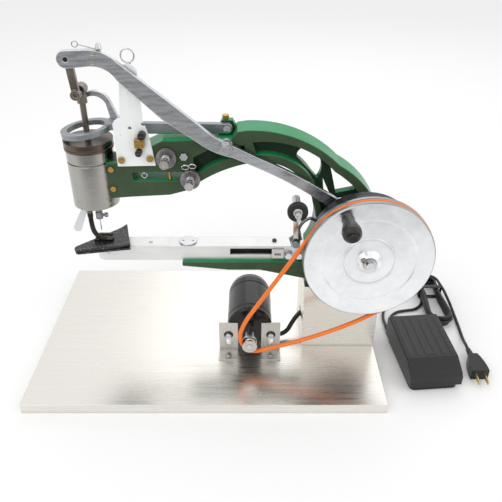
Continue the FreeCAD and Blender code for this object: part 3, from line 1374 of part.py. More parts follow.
def pedal_profile(inset):
    """The treadle's side view: a long slope and a rolled front lip."""
    far = PEDAL_LENGTH / 2 - inset
    high = PEDAL_HEIGHT - inset
    return [(far, TREADLE_RIM - 1 if inset else TREADLE_RIM), (far, high - 4), (far - 4, high),
            (-far + 26, high - 5), (-far + 4, high - 16), (-far, high - 21),
            (-far, TREADLE_RIM - 1 if inset else TREADLE_RIM)]


def make_pedal_treadle():
    half = PEDAL_WIDTH / 2

    def block(inset):
        wide = half - inset
        face = outline_face(pedal_profile(inset), lambda y, z: V(-wide, y, z))
        return face.extrude(V(2 * wide, 0, 0))

    outside = block(0)
    long_edges = [edge for edge in outside.Edges
                  if edge.BoundBox.ZMin > TREADLE_RIM + 5 and abs(edge.tangentAt(0).x) < 0.1]
    outside = outside.makeFillet(2.2, long_edges)
    shell = less(outside, block(PEDAL_WALL))
    slope_start, slope_end = PEDAL_LENGTH / 2 - 10, -PEDAL_LENGTH / 2 + 28
    pitch = (PEDAL_WIDTH - 14) / (PEDAL_RIBS - 1)
    ribs = []
    for k in range(PEDAL_RIBS):
        x = -half + 7 + k * pitch
        top = PEDAL_HEIGHT - 0.3
        side = outline_face([(slope_start, top - 2), (slope_start - 2, top + 0.8), (slope_end + 2, top - 3.6),
                             (slope_end, top - 6)], lambda y, z: V(x - 2.4, y, z))
        ribs.append(side.extrude(V(4.8, 0, 0)))
    shell = join(shell, *ribs)
    spring_seat = z_rod(PEDAL_SPRING_R + 2, 0, pedal_spring_y, pedal_spring_top, PEDAL_HEIGHT - 4)
    pin = rod(PEDAL_PIN_R, (-half + 1, hinge_y, hinge_z), (half - 1, hinge_y, hinge_z))
    return pedal_place(join(shell, spring_seat, pin))


def make_pedal_spring():
    tall = pedal_spring_top - PEDAL_SEAT - 2 * SPRING_SEAT
    spring, line = coil(0, 0, 0, tall, PEDAL_SPRING_R, 5, SPRING_WIRE_R)
    print("pedal spring least gap", round(least_gap(line, 3, SPRING_WIRE_R), 2))
    spring.rotate(V(0, 0, 0), X_AXIS, 90)
    spring.translate(V(0, pedal_spring_y, PEDAL_SEAT + SPRING_SEAT))
    return pedal_place(spring)


# Cords, hank and plug

def hank_line():
    """Stations of the hank: four layers that wind in and out by turns, drawn in at the waist."""
    stations = []

    def station(angle_step, radius, z):
        draw = radius - HANK_WAIST_DRAW
        table = [
            ((-radius, HANK_FRONT), (0, 1)), ((-draw, HANK_WAIST), (0, 1)), ((-radius, HANK_BACK), (0, 1)),
            ((0, HANK_BACK + radius), (1, 0)), ((radius, HANK_BACK), (0, -1)), ((draw, HANK_WAIST), (0, -1)),
            ((radius, HANK_FRONT), (0, -1)), ((0, HANK_FRONT - radius), (-1, 0))]
        (x, y), (tx, ty) = table[angle_step % 8]
        stations.append((V(HANK_X + x, y, z), V(tx, ty, 0)))

    step = 0
    for layer in range(HANK_LAYERS):
        z = floor_z + HANK_LAYER * layer
        for k in range(9):
            share = k / 8
            radius = hank_out_r - HANK_STEP * (share if layer % 2 == 0 else 1 - share)
            if k == 0 and layer > 0:
                continue
            station(step, radius, z)
            step += 1
        if layer < HANK_LAYERS - 1:
            edge = HANK_IN_R if layer % 2 == 0 else hank_out_r
            for k in range(1, 5):
                station(step, edge, z + HANK_LAYER * k / 4)
                step += 1
    # The cord comes in at the left waist.
    return stations[1:]


def make_hank():
    stations = hank_line()
    edges = []
    for (p, t), (q, u) in zip(stations, stations[1:]):
        edges += biarc(p, t, q, u)
    line = []
    for edge in edges:
        line += edge.discretize(6)[:-1]
    start = stations[0][0] - stations[0][1] * (2 * CORD_R)
    end = stations[-1][0] + stations[-1][1] * (2 * CORD_R)
    edges = [Part.makeLine(start, stations[0][0])] + edges + [Part.makeLine(stations[-1][0], end)]
    length = sum(edge.Length for edge in edges)
    print("hank length", round(length), "least gap", round(least_gap(line, 14, CORD_R), 2))
    return tube(edges, CORD_R, start, stations[0][1]), start, end


def make_plug():
    """A two-blade plug lying on the floor, with its strain relief towards the cord."""
    z = PLUG_HEIGHT / 2 + 0.1
    neck_end = PLUG_BACK - PLUG_NECK
    front = neck_end - PLUG_BODY
    half = PLUG_WIDTH / 2
    neck = Part.makeCone(CORD_R + 1.2, CORD_R + 3, PLUG_NECK + 1, V(PLUG_X, PLUG_BACK, z), V(0, -1, 0))
    block = plate([
        (PLUG_X - half, front),
        (PLUG_X + half, front),
        ((PLUG_X + half - 1, neck_end - PLUG_BODY / 2), (PLUG_X + half - 6, neck_end)),
        (PLUG_X - half + 6, neck_end),
        ((PLUG_X - half + 1, neck_end - PLUG_BODY / 2), (PLUG_X - half, front)),
    ], 0.1, PLUG_HEIGHT + 0.1)
    body = join(block, neck)
    pieces = [body]
    for side in (-1, 1):
        x = PLUG_X + side * BLADE_SPACING / 2
        pieces.append(box(x - 0.75, x + 0.75, front - BLADE_LENGTH, front, z - 3.2, z + 3.2))
    return Part.makeCompound(pieces)


def make_leather():
    """A folded scrap lying on the arm: two plies joined along the left edge, pierced by the needle."""
    scrap = plate([
        (needle_x - 35, -26),
        (needle_x - 30, -40),
        (needle_x + 45, -24),
        (needle_x + 31, 37),
        (needle_x + 24, 37),
    ], leather_bottom, leather_top)
    middle = (leather_bottom + leather_top) / 2
    fold = box(needle_x - 24, needle_x + 60, -60, 60, middle - 0.3, middle + 0.3)
    return less(scrap, fold, z_rod(NEEDLE_R + CLEAR, needle_x, 0, leather_bottom - 1, leather_top + 1))


def make_motor_cord():
    """From the motor into the pedestal, out behind it, off the tray and round to the pedal."""
    end = pedal_point(gland_places[0], PEDAL_LENGTH / 2 + GLAND_LENGTH, GLAND_HEIGHT)
    near_end = pedal_point(gland_places[0], PEDAL_LENGTH / 2 + GLAND_LENGTH + 10, GLAND_HEIGHT)
    on_tray = tray_top + floor_z
    return cord("motor cord", [
        tuple(gland_end), tuple(gland_end + gland_way * 10.5), (110.7, -25.6, 23.4), (120.7, -19.8, 26.7),
        (126.5, -13.1, 34.4), (133.8, -4.7, 41.3), (145, 4.5, 47.6), (158, 13, 46.5), (170, 22.5, 39.5),
        (180, 34, 29), (188, 48, 21), (198, 63, on_tray + 0.2), (209, 79, on_tray),
        (221, 94, on_tray + 0.2), (232, 107, 19.5), (243, 118, 22), (254, 126, 21.5), (266, 133, 13.5),
        (276, 138, 4.5), (291, 146, floor_z), (308, 153, floor_z), (325, 154, floor_z), (339, 145, floor_z),
        (345, 129.5, floor_z), (343, 113, floor_z), (333, 100, floor_z), (318, 92, floor_z),
        (303, 83, floor_z), (292, 70, floor_z), (285.5, 54, floor_z), (283, 37.5, floor_z),
        (283.6, 23, 3.2), near_end, end])


def make_mains_cord(hank_start):
    start = pedal_point(gland_places[1], PEDAL_LENGTH / 2 + GLAND_LENGTH, GLAND_HEIGHT)
    near_start = pedal_point(gland_places[1], PEDAL_LENGTH / 2 + GLAND_LENGTH + 10, GLAND_HEIGHT)
    return cord("mains cord", [
        start, near_start, (292.6, 25, 3), (294, 38, floor_z), (300, 50, floor_z), (311, 58.5, floor_z),
        (325, 62, floor_z), (339, 64, floor_z), (350, 71.5, floor_z), (357, 82, floor_z),
        (hank_start.x, hank_start.y - 8.4, floor_z), tuple(hank_start)])


def make_plug_cord(hank_end):
    plug_z = PLUG_HEIGHT / 2 + 0.1
    return cord("plug cord", [
        tuple(hank_end), (hank_end.x, hank_end.y - 10.4, hank_end.z), (397, 101, 16.5), (400.5, 89.5, 12.8),
        (403, 77, 8), (404, 64, 4.2), (404, 50, 2.6), (403.3, 35, floor_z), (402.3, 19, floor_z),
        (401, 3, floor_z), (399.5, -11, 3.4), (398, -23, 6.2), (PLUG_X, PLUG_BACK + 9.5, plug_z),
        (PLUG_X, PLUG_BACK, plug_z)])


nodes["base_tray"] = make_base_tray()
nodes["pedestal"] = make_pedestal()
nodes["frame_casting"] = make_frame()
nodes["barrel_keeper"] = make_keeper()
nodes["barrel"] = make_barrel()
nodes["lifter_paddle"] = make_paddle()
nodes["presser_bar"] = make_presser()
nodes["presser_spring"] = make_presser_spring()
nodes["needle_swivel"] = make_swivel()
nodes["needle_bar"] = make_needle_bar()
nodes["needle_clamp"] = make_needle_clamp()
nodes["needle"] = make_needle()
nodes["needle_lever"] = make_needle_lever()
nodes["lever_thread_guide"] = make_lever_guide()
nodes["needle_link"] = make_link()
nodes["link_pins"] = make_link_pins()
nodes["feed_lever"] = make_feed_lever()
nodes["arch_strap"] = make_arch_strap()
nodes["thread_plate"] = make_thread_plate()
nodes["thread_wires"] = make_thread_wires()
nodes["brass_fittings"] = make_brass_fittings()
nodes["black_screws"] = make_black_screws()
nodes["tension_discs"] = make_tension_discs()
nodes["tension_springs"] = make_tension_springs()
nodes["upper_tension_nut"] = make_tension_nut(*tension_places[0])
nodes["lower_tension_nut"] = make_tension_nut(*tension_places[1])
nodes["steel_bolts"] = make_steel_bolts()
nodes["shuttle_arm"] = make_shuttle_arm()
nodes["needle_plate"] = make_needle_plate()
nodes["swing_cover"] = make_swing_cover()
nodes["shuttle"] = make_shuttle()
nodes["bobbin"] = make_bobbin()
nodes["shuttle_pinion"] = make_pinion()
nodes["shuttle_rack"] = make_rack()
nodes["rack_bracket"] = make_rack_bracket()
nodes["main_shaft"] = make_main_shaft()
nodes["shaft_bush"] = make_shaft_bush()
nodes["cam_drum"] = make_cam_drum()
nodes["hand_wheel"] = make_hand_wheel()
nodes["crank_spindle"] = make_crank_spindle()
nodes["crank_grip"] = make_crank_grip()
nodes["drive_belt"] = make_belt()
nodes["motor_housing"] = make_motor_housing()
nodes["motor_field"] = make_motor_field()
nodes["motor_rotor"] = make_motor_rotor()
nodes["motor_pulley"] = make_motor_pulley()
nodes["motor_bracket_left"] = make_motor_bracket(-1)
nodes["motor_bracket_right"] = make_motor_bracket(1)
nodes["winder_bracket"] = make_winder_bracket()
nodes["winder_arm"] = make_winder_arm()
nodes["winder_wheel"] = make_winder_wheel()
nodes["pedal_base"] = make_pedal_base()
nodes["pedal_treadle"] = make_pedal_treadle()
nodes["pedal_spring"] = make_pedal_spring()
nodes["cord_hank"], hank_start, hank_end = make_hank()
nodes["mains_cord"] = make_mains_cord(hank_start)
nodes["plug_cord"] = make_plug_cord(hank_end)
nodes["motor_cord"] = make_motor_cord()
nodes["plug"] = make_plug()
nodes["leather_strip"] = make_leather()

os.makedirs("parts", exist_ok=True)
for name, shape in nodes.items():
    good = shape.isValid() and all(solid.isClosed() for solid in shape.Solids) and len(shape.Solids) > 0
    print(name, "solids", len(shape.Solids), "volume", round(shape.Volume), "" if good else "BAD")
    shape.exportStep("parts/" + name + ".step")
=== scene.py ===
# %% [markdown]
# # A shoe-patching sewing machine, dressed
# The imported model is the fixed frame: every casting, lever and wheel is already in its place, in
# metres. What is left is finish, and what is soft or fine: the leads with their boots and tie, the
# springs, the scrap of leather under the foot and a small block on the wheel's hub. The frame is
# loaded first.

# %% Load the frame
import math
import bpy
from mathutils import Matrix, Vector


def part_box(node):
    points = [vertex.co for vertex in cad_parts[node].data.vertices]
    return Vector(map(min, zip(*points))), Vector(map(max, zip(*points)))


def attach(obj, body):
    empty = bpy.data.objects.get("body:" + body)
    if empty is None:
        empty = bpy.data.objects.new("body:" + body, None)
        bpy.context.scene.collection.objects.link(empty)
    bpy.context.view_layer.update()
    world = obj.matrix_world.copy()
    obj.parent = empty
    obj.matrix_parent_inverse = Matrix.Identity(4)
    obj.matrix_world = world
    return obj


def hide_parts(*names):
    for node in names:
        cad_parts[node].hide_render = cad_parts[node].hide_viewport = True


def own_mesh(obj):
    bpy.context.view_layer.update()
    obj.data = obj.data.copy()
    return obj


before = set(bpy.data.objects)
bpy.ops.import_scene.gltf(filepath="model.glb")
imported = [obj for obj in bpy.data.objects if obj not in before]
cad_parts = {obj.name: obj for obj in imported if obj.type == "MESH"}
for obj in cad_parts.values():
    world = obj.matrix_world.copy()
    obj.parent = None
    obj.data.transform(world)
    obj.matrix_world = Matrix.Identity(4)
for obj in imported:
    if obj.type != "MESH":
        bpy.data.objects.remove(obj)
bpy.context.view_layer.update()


def brief(corner):
    """A corner of a box, short enough to print."""
    return [round(value, 4) for value in corner]


# %% [markdown]
# ## Camera, floor and light
# The photograph was taken a little to the left of the hand wheel, from about the height of an
# operator's eyes, so its upright edges lean together towards the bottom. A camera at that place and
# pitch gives the same lean. The floor is plain and pale under the machine, and the light is large
# and soft, as in a product studio, so that bright metal has something white to mirror. Towards the
# camera the floor's colour darkens, as painted shade, and upright metal mirrors that as a painted
# reflection: the wheel is greyer at its top than at its foot.

# %% Camera
MM = 0.001


def mm(*values):
    """A place in millimetres as a vector in metres."""
    return Vector(values) * MM


EYE = mm(64, -740, 614)
PITCH_DOWN = 31.6
FOCAL_PIXELS = 593
IMAGE_PIXELS = 502

bpy.ops.object.select_all(action="DESELECT")
bpy.ops.object.camera_add(location=EYE, rotation=(math.radians(90 - PITCH_DOWN), 0, 0))
camera = bpy.context.object
camera.data.sensor_fit = "HORIZONTAL"
camera.data.lens = camera.data.sensor_width * FOCAL_PIXELS / IMAGE_PIXELS
bpy.context.scene.camera = camera
bpy.context.scene.view_settings.view_transform = "Standard"
print("lens", round(camera.data.lens, 2))

# %% Floor
FLOOR_SIZE = 12.0
FLOOR_DROP = 0.0002
FLOOR_PALE_Y, FLOOR_PALE = -0.38, 0.97
FLOOR_DARK_Y, FLOOR_DARK = -0.9, 0.26


def add_node(tree, kind, inputs=None, **settings):
    """A new shader node, with its settings made and its unlinked inputs filled in."""
    node = tree.nodes.new("ShaderNode" + kind)
    for label, value in settings.items():
        setattr(node, label, value)
    for socket, value in (inputs or {}).items():
        node.inputs[socket].default_value = value
    return node


bpy.ops.object.select_all(action="DESELECT")
bpy.ops.mesh.primitive_plane_add(size=FLOOR_SIZE, location=(0, 0, -FLOOR_DROP))
floor = bpy.context.object
floor.name = "floor"
floor_paint = bpy.data.materials.new("floor_paint")
floor_paint.use_nodes = True
floor_tree = floor_paint.node_tree
floor_shader = floor_tree.nodes["Principled BSDF"]
floor_shader.inputs["Roughness"].default_value = 0.9
floor_shader.inputs["Specular IOR Level"].default_value = 0.1
floor_place = add_node(floor_tree, "TexCoord")
floor_parts = add_node(floor_tree, "SeparateXYZ")
# The floor's colour darkens from pale to dark towards the front: painted shade, which upright metal
# mirrors.
floor_shade = add_node(
    floor_tree, "MapRange", interpolation_type="SMOOTHSTEP",
    inputs={"From Min": FLOOR_DARK_Y, "From Max": FLOOR_PALE_Y,
            "To Min": FLOOR_DARK, "To Max": FLOOR_PALE})
floor_tree.links.new(floor_place.outputs["Object"], floor_parts.inputs[0])
floor_tree.links.new(floor_parts.outputs["Y"], floor_shade.inputs["Value"])
floor_tree.links.new(floor_shade.outputs[0], floor_shader.inputs["Base Color"])
floor.data.materials.append(floor_paint)
print("floor", FLOOR_SIZE)

# %% Lamps
MACHINE_MIDDLE = mm(60, 0, 180)


def lamp(name, place, size, power):
    """A square area lamp that faces the middle of the machine."""
    bpy.ops.object.light_add(type="AREA", location=place)
    light = bpy.context.object
    light.name = name
    light.data.size = size
    light.data.energy = power
    facing = MACHINE_MIDDLE - Vector(place)
    light.rotation_euler = facing.to_track_quat("-Z", "Y").to_euler()
    print(name, power)


lamp("key_lamp", place=(-0.9, -1.3, 1.7), size=1.4, power=9)
lamp("side_lamp", place=(1.6, -0.7, 1.2), size=1.2, power=4)
lamp("back_lamp", place=(0.3, 1.5, 1.6), size=1.6, power=4)

# %% World, a soft dome that looks pure white to the camera and to mirrors
WHITE = (1, 1, 1, 1)
DOME_STRENGTH = 0.88

world = bpy.data.worlds.new("studio")
world.use_nodes = True
bpy.context.scene.world = world
sky = world.node_tree
dome = sky.nodes["Background"]
dome.inputs["Color"].default_value = WHITE
dome.inputs["Strength"].default_value = DOME_STRENGTH
backdrop = add_node(sky, "Background", {"Color": WHITE})
ray = add_node(sky, "LightPath")
seen = add_node(sky, "Math", operation="MAXIMUM")
choice = add_node(sky, "MixShader")
sky.links.new(ray.outputs["Is Camera Ray"], seen.inputs[0])
sky.links.new(ray.outputs["Is Glossy Ray"], seen.inputs[1])
sky.links.new(seen.outputs[0], choice.inputs["Fac"])
sky.links.new(dome.outputs[0], choice.inputs[1])
sky.links.new(backdrop.outputs[0], choice.inputs[2])
sky.links.new(choice.outputs[0], sky.nodes["World Output"].inputs["Surface"])
print("world", world.name)

# %% [markdown]
# ## Two shared effects
# Almost every surface here is worn in the same ways: paint and plating are thin on the edges, the
# colour is not quite even, and the gloss changes from place to place. Corners are also darkened,
# as painted shade. One node group holds all of that, so that each finish only gives it numbers. It
# reads Object coordinates, and a stretch makes its grain into brush lines. A second group draws the
# fine rings that a lathe leaves round an axis.

# %% Worn surface: sockets, fine grain and wide cloud
CLOUD = {"Scale": 22, "Detail": 4}
GRAIN_DETAIL = 6


def new_group(name, inputs, outputs):
    """A shader node group with its sockets, and its two end nodes."""
    group = bpy.data.node_groups.new(name, "ShaderNodeTree")
    for label, kind, value in inputs:
        socket = group.interface.new_socket(
            name=label, in_out="INPUT", socket_type="NodeSocket" + kind)
        socket.default_value = value
    for label, kind in outputs:
        group.interface.new_socket(name=label, in_out="OUTPUT", socket_type="NodeSocket" + kind)
    return group, group.nodes.new("NodeGroupInput"), group.nodes.new("NodeGroupOutput")


# The last socket sets how strongly corners are darkened: painted shade.
worn_and_shaded_surface, given, result = new_group("worn_and_shaded_surface", [
    ("Colour", "Color", (0.5, 0.5, 0.5, 1)), ("Worn colour", "Color", (0.7, 0.7, 0.7, 1)),
    ("Edge", "Float", 0.0008), ("Grain", "Float", 60.0), ("Stretch", "Vector", (1, 1, 1)),
    ("Mottle", "Float", 0.1), ("Wear", "Float", 0.5), ("Smooth", "Float", 0.3),
    ("Rough", "Float", 0.45), ("Bump", "Float", 0.1), ("Grime", "Float", 0.45)],
    [("Colour", "Color"), ("Roughness", "Float"), ("Normal", "Vector")])
link = worn_and_shaded_surface.links.new
place = add_node(worn_and_shaded_surface, "TexCoord")
stretched = add_node(worn_and_shaded_surface, "VectorMath", operation="MULTIPLY")
grain = add_node(worn_and_shaded_surface, "TexNoise", {"Detail": GRAIN_DETAIL})
cloud = add_node(worn_and_shaded_surface, "TexNoise", CLOUD)
link(place.outputs["Object"], stretched.inputs[0])
link(given.outputs["Stretch"], stretched.inputs[1])
link(stretched.outputs[0], grain.inputs["Vector"])
link(given.outputs["Grain"], grain.inputs["Scale"])
link(place.outputs["Object"], cloud.inputs["Vector"])
print("worn surface sockets", len(worn_and_shaded_surface.interface.items_tree))

# %% Worn surface: edges
EDGE_NORMALS = {"From Min": 0.985, "From Max": 0.80}
SAMPLES = 6

# The rounded normal differs from the flat one only near an edge, which gives the wear its place.
rounded = add_node(worn_and_shaded_surface, "Bevel", samples=SAMPLES)
flat = add_node(worn_and_shaded_surface, "NewGeometry")
along = add_node(worn_and_shaded_surface, "VectorMath", operation="DOT_PRODUCT")
edge = add_node(worn_and_shaded_surface, "MapRange", EDGE_NORMALS)
patchy = add_node(worn_and_shaded_surface, "Math", operation="MULTIPLY")
doubled = add_node(worn_and_shaded_surface, "Math", {1: 2}, operation="MULTIPLY", use_clamp=True)
worn = add_node(worn_and_shaded_surface, "Mix", data_type="RGBA")
link(given.outputs["Edge"], rounded.inputs["Radius"])
link(rounded.outputs["Normal"], along.inputs[0])
link(flat.outputs["Normal"], along.inputs[1])
link(along.outputs["Value"], edge.inputs["Value"])
link(given.outputs["Wear"], edge.inputs["To Max"])
link(edge.outputs[0], patchy.inputs[0])
link(cloud.outputs["Fac"], patchy.inputs[1])
link(patchy.outputs[0], doubled.inputs[0])
link(doubled.outputs[0], worn.inputs["Factor"])
link(given.outputs["Colour"], worn.inputs["A"])
link(given.outputs["Worn colour"], worn.inputs["B"])
print("nodes with worn edges", len(worn_and_shaded_surface.nodes))

# %% Worn surface: uneven colour and painted corner shade
OPEN_SKY = {"From Min": 0.95, "From Max": 0.25}
SHADE_REACH = 0.006
SHADE_BROWN = (0.10, 0.09, 0.08, 1)

# Grain and cloud together make a brightness that is a little over or under 1.
both = add_node(worn_and_shaded_surface, "Math", operation="ADD")
centred = add_node(worn_and_shaded_surface, "Math", {1: 1}, operation="SUBTRACT")
shade = add_node(worn_and_shaded_surface, "Math", {2: 1}, operation="MULTIPLY_ADD")
tint = add_node(worn_and_shaded_surface, "HueSaturation")
link(grain.outputs["Fac"], both.inputs[0])
link(cloud.outputs["Fac"], both.inputs[1])
link(both.outputs[0], centred.inputs[0])
link(centred.outputs[0], shade.inputs[0])
link(given.outputs["Mottle"], shade.inputs[1])
link(worn.outputs["Result"], tint.inputs["Color"])
link(shade.outputs[0], tint.inputs["Value"])
# Painted shade: corners, where little open sky is in view, are darkened towards a dull brown.
corner = add_node(worn_and_shaded_surface, "AmbientOcclusion", {"Distance": SHADE_REACH}, samples=SAMPLES)
shade_share = add_node(worn_and_shaded_surface, "MapRange", OPEN_SKY)
shade_mix = add_node(worn_and_shaded_surface, "Mix", {"B": SHADE_BROWN}, data_type="RGBA", blend_type="MULTIPLY")
link(corner.outputs["AO"], shade_share.inputs["Value"])
link(given.outputs["Grime"], shade_share.inputs["To Max"])
link(shade_share.outputs[0], shade_mix.inputs["Factor"])
link(tint.outputs["Color"], shade_mix.inputs["A"])
link(shade_mix.outputs["Result"], result.inputs["Colour"])
print("nodes with uneven colour", len(worn_and_shaded_surface.nodes))

# %% Worn surface: gloss and normal
GLOSS_RANGE = {"From Min": 0.3, "From Max": 0.7}
GRAIN_DEPTH = 0.0006

gloss = add_node(worn_and_shaded_surface, "MapRange", GLOSS_RANGE)
link(grain.outputs["Fac"], gloss.inputs["Value"])
link(given.outputs["Smooth"], gloss.inputs["To Min"])
link(given.outputs["Rough"], gloss.inputs["To Max"])
link(gloss.outputs[0], result.inputs["Roughness"])
bump = add_node(worn_and_shaded_surface, "Bump", {"Distance": GRAIN_DEPTH})
link(given.outputs["Bump"], bump.inputs["Strength"])
link(grain.outputs["Fac"], bump.inputs["Height"])
link(rounded.outputs["Normal"], bump.inputs["Normal"])
link(bump.outputs["Normal"], result.inputs["Normal"])
print("group", worn_and_shaded_surface.name, len(worn_and_shaded_surface.nodes))

# %% Lathe rings: rings round an axis along Y, and the distance from it
ACROSS_Y = (1, 0, 1)
RING_DETAIL = 3

lathe_rings, given, result = new_group(
    "lathe_rings", [("Centre", "Vector", (0, 0, 0)), ("Rings", "Float", 900.0)],
    [("Ring", "Float"), ("Radius", "Float")])
link = lathe_rings.links.new
place = add_node(lathe_rings, "TexCoord")
moved = add_node(lathe_rings, "VectorMath", operation="SUBTRACT")
across = add_node(lathe_rings, "VectorMath", {1: ACROSS_Y}, operation="MULTIPLY")
radius = add_node(lathe_rings, "VectorMath", operation="LENGTH")
count = add_node(lathe_rings, "Math", operation="MULTIPLY")
ring = add_node(lathe_rings, "TexNoise", {"Scale": 1, "Detail": RING_DETAIL}, noise_dimensions="1D")
link(place.outputs["Object"], moved.inputs[0])
link(given.outputs["Centre"], moved.inputs[1])
link(moved.outputs[0], across.inputs[0])
link(across.outputs[0], radius.inputs[0])
link(radius.outputs["Value"], count.inputs[0])
link(given.outputs["Rings"], count.inputs[1])
link(count.outputs[0], ring.inputs["W"])
link(ring.outputs["Fac"], result.inputs["Ring"])
link(radius.outputs["Value"], result.inputs["Radius"])
print("group", lathe_rings.name, len(lathe_rings.nodes))

# %% [markdown]
# ## Finishes
# Each finish is one material: a Principled shader fed by the shared group, with its own colours and
# grain. Colours are written as they look on a screen and turned into light values by one function.
# Numbers that are the same all over, such as metallic or coat, sit on the shader itself. The tray
# and the pedestal come first. They are brushed stainless sheet, and the brush lines are the group's
# grain, stretched along X until it looks like scratches.

# %% A finish from the shared group


def paint(red, green, blue):
    """A screen colour from 0 to 255 as linear light, by the sRGB curve."""
    def linear(value):
        share = value / 255
        return share / 12.92 if share <= 0.04045 else ((share + 0.055) / 1.055) ** 2.4
    return (linear(red), linear(green), linear(blue), 1)


def finish(name, colour, worn, metallic=0.0, coat=0.0, specular=0.5, **grain):
    """A material whose colour, gloss and normal come from worn_and_shaded_surface."""
    material = bpy.data.materials.new(name)
    material.use_nodes = True
    tree = material.node_tree
    shader = tree.nodes["Principled BSDF"]
    shader.inputs["Metallic"].default_value = metallic
    shader.inputs["Coat Weight"].default_value = coat
    shader.inputs["Specular IOR Level"].default_value = specular
    surface = add_node(tree, "Group", node_tree=worn_and_shaded_surface, name="surface",
                       inputs={"Colour": colour, "Worn colour": worn, **grain})
    tree.links.new(surface.outputs["Colour"], shader.inputs["Base Color"])
    tree.links.new(surface.outputs["Roughness"], shader.inputs["Roughness"])
    tree.links.new(surface.outputs["Normal"], shader.inputs["Normal"])
    return material


def wear(material, *names):
    """Puts one finish on CAD nodes or pieces."""
    for name in names:
        piece = bpy.data.objects[name]
        piece.data.materials.clear()
        piece.data.materials.append(material)


# The sheet's corners get less of the group's painted shade than the default.
stainless = finish(
    "stainless_sheet", paint(232, 229, 223), paint(244, 242, 238), metallic=1.0, Grain=420,
    Stretch=(0.02, 1, 1), Mottle=0.025, Wear=0.4, Smooth=0.23, Rough=0.33, Bump=0.006, Grime=0.2)
wear(stainless, "base_tray", "pedestal")
bracket_steel = finish(
    "bracket_steel", paint(206, 204, 200), paint(236, 234, 230), metallic=1.0, Grain=300,
    Stretch=(1, 1, 0.05), Mottle=0.08, Smooth=0.25, Rough=0.4, Bump=0.03)
wear(bracket_steel, "motor_bracket_left", "motor_bracket_right", "rack_bracket")
print("finishes", stainless.name, bracket_steel.name)

# %% [markdown]
# ## Painted casting
# The frame is cast iron under green enamel. Here the green is given lit and shaded copies: a dull
# olive for the sides, as painted shade, a darker green in the sunk web, also painted shade, and a
# brighter green where it faces upwards, as a painted highlight. That could be painted on by hand,
# but a mask from the place or from the normal does it for any shape: it mixes a second colour over
# the first.

# %% A second colour by place or by facing
WEB_HALF = 12.5 * MM
FACING_UP = {"From Min": 0.05, "From Max": 0.75}


def blend_in(material, other, factor):
    """A second colour mixed over what the shader's colour has so far."""
    tree = material.node_tree
    base = tree.nodes["Principled BSDF"].inputs["Base Color"]
    mix = add_node(tree, "Mix", {"B": other}, data_type="RGBA")
    tree.links.new(factor, mix.inputs["Factor"])
    tree.links.new(base.links[0].from_socket, mix.inputs["A"])
    tree.links.new(mix.outputs["Result"], base)


def by_place(material, other, axis, low, high):
    """A second colour where a coordinate lies between two places, in metres."""
    tree = material.node_tree
    place = add_node(tree, "TexCoord")
    parts = add_node(tree, "SeparateXYZ")
    inside = add_node(tree, "Math", {1: (low + high) / 2, 2: (high - low) / 2}, operation="COMPARE")
    tree.links.new(place.outputs["Object"], parts.inputs[0])
    tree.links.new(parts.outputs[axis], inside.inputs[0])
    blend_in(material, other, inside.outputs[0])
    return inside.outputs[0]


def by_facing(material, other):
    """A second colour on what faces upwards: a painted highlight, where more light falls."""
    tree = material.node_tree
    flat = add_node(tree, "NewGeometry")
    parts = add_node(tree, "SeparateXYZ")
    up = add_node(tree, "MapRange", FACING_UP)
    tree.links.new(flat.outputs["Normal"], parts.inputs[0])
    tree.links.new(parts.outputs["Z"], up.inputs["Value"])
    blend_in(material, other, up.outputs[0])


# The olive base is the enamel's sides as they look in shade: painted shade.
green_enamel = finish(
    "green_enamel", paint(66, 84, 62), paint(104, 136, 108), coat=0.05, specular=0.12, Edge=0.0025,
    Grain=38, Mottle=0.28, Wear=0.5, Smooth=0.2, Rough=0.34, Bump=0.12)
# The sunk web is a darker green: painted shade.
by_place(green_enamel, paint(40, 60, 44), "Y", -WEB_HALF, WEB_HALF)
# What faces upwards is a brighter green: a painted highlight.
by_facing(green_enamel, paint(30, 142, 86))
wear(green_enamel, "frame_casting")
print("finish", green_enamel.name)

# %% [markdown]
# ## Bare metals
# The working parts are steel in several states: forged and scraped, cast, browned by heat and oil,
# ground bright, or blacked. They differ in colour, in the way their grain is stretched and in how
# far their edges are worn, so they are the same group with other numbers. The barrel's top ring and
# the presser's shank have a colour of their own, set by height. Brass and plating follow.

# %% Steel of the levers and the needle's carrier
lever_steel = finish(
    "lever_steel", paint(204, 206, 210), paint(240, 241, 242), metallic=1.0, Edge=0.0014, Grain=260,
    Stretch=(0.15, 1, 1), Mottle=0.2, Wear=0.9, Smooth=0.2, Rough=0.36, Bump=0.02)
wear(lever_steel, "needle_lever", "arch_strap", "swing_cover")
cast_steel = finish(
    "cast_steel", paint(150, 154, 158), paint(214, 216, 218), metallic=0.9, Edge=0.0014, Grain=130,
    Mottle=0.22, Wear=0.7, Smooth=0.32, Rough=0.52, Bump=0.12)
wear(cast_steel, "feed_lever", "winder_bracket", "needle_clamp")
brown_steel = finish(
    "brown_steel", paint(134, 126, 116), paint(206, 202, 196), metallic=1.0, Edge=0.001, Grain=150,
    Stretch=(1, 1, 0.2), Mottle=0.4, Wear=0.8, Smooth=0.22, Rough=0.44, Bump=0.06)
wear(brown_steel, "needle_link", "needle_swivel", "needle_bar")
bright_steel = finish(
    "bright_steel", paint(214, 215, 216), paint(240, 240, 240), metallic=1.0, Edge=0.0006,
    Grain=340, Stretch=(1, 1, 0.08), Mottle=0.06, Smooth=0.16, Rough=0.3, Bump=0.02)
wear(bright_steel, "needle", "lifter_paddle", "main_shaft", "thread_wires",
     "steel_bolts", "shuttle", "shuttle_pinion", "motor_rotor")
print("finishes", lever_steel.name, cast_steel.name, brown_steel.name, bright_steel.name)

# %% Steel of the head and of what is blacked
BEYOND_ALL = 1.0
BARREL_RING = 12 * MM
SHANK_LOW, SHANK_HIGH = 222.5 * MM, 262 * MM

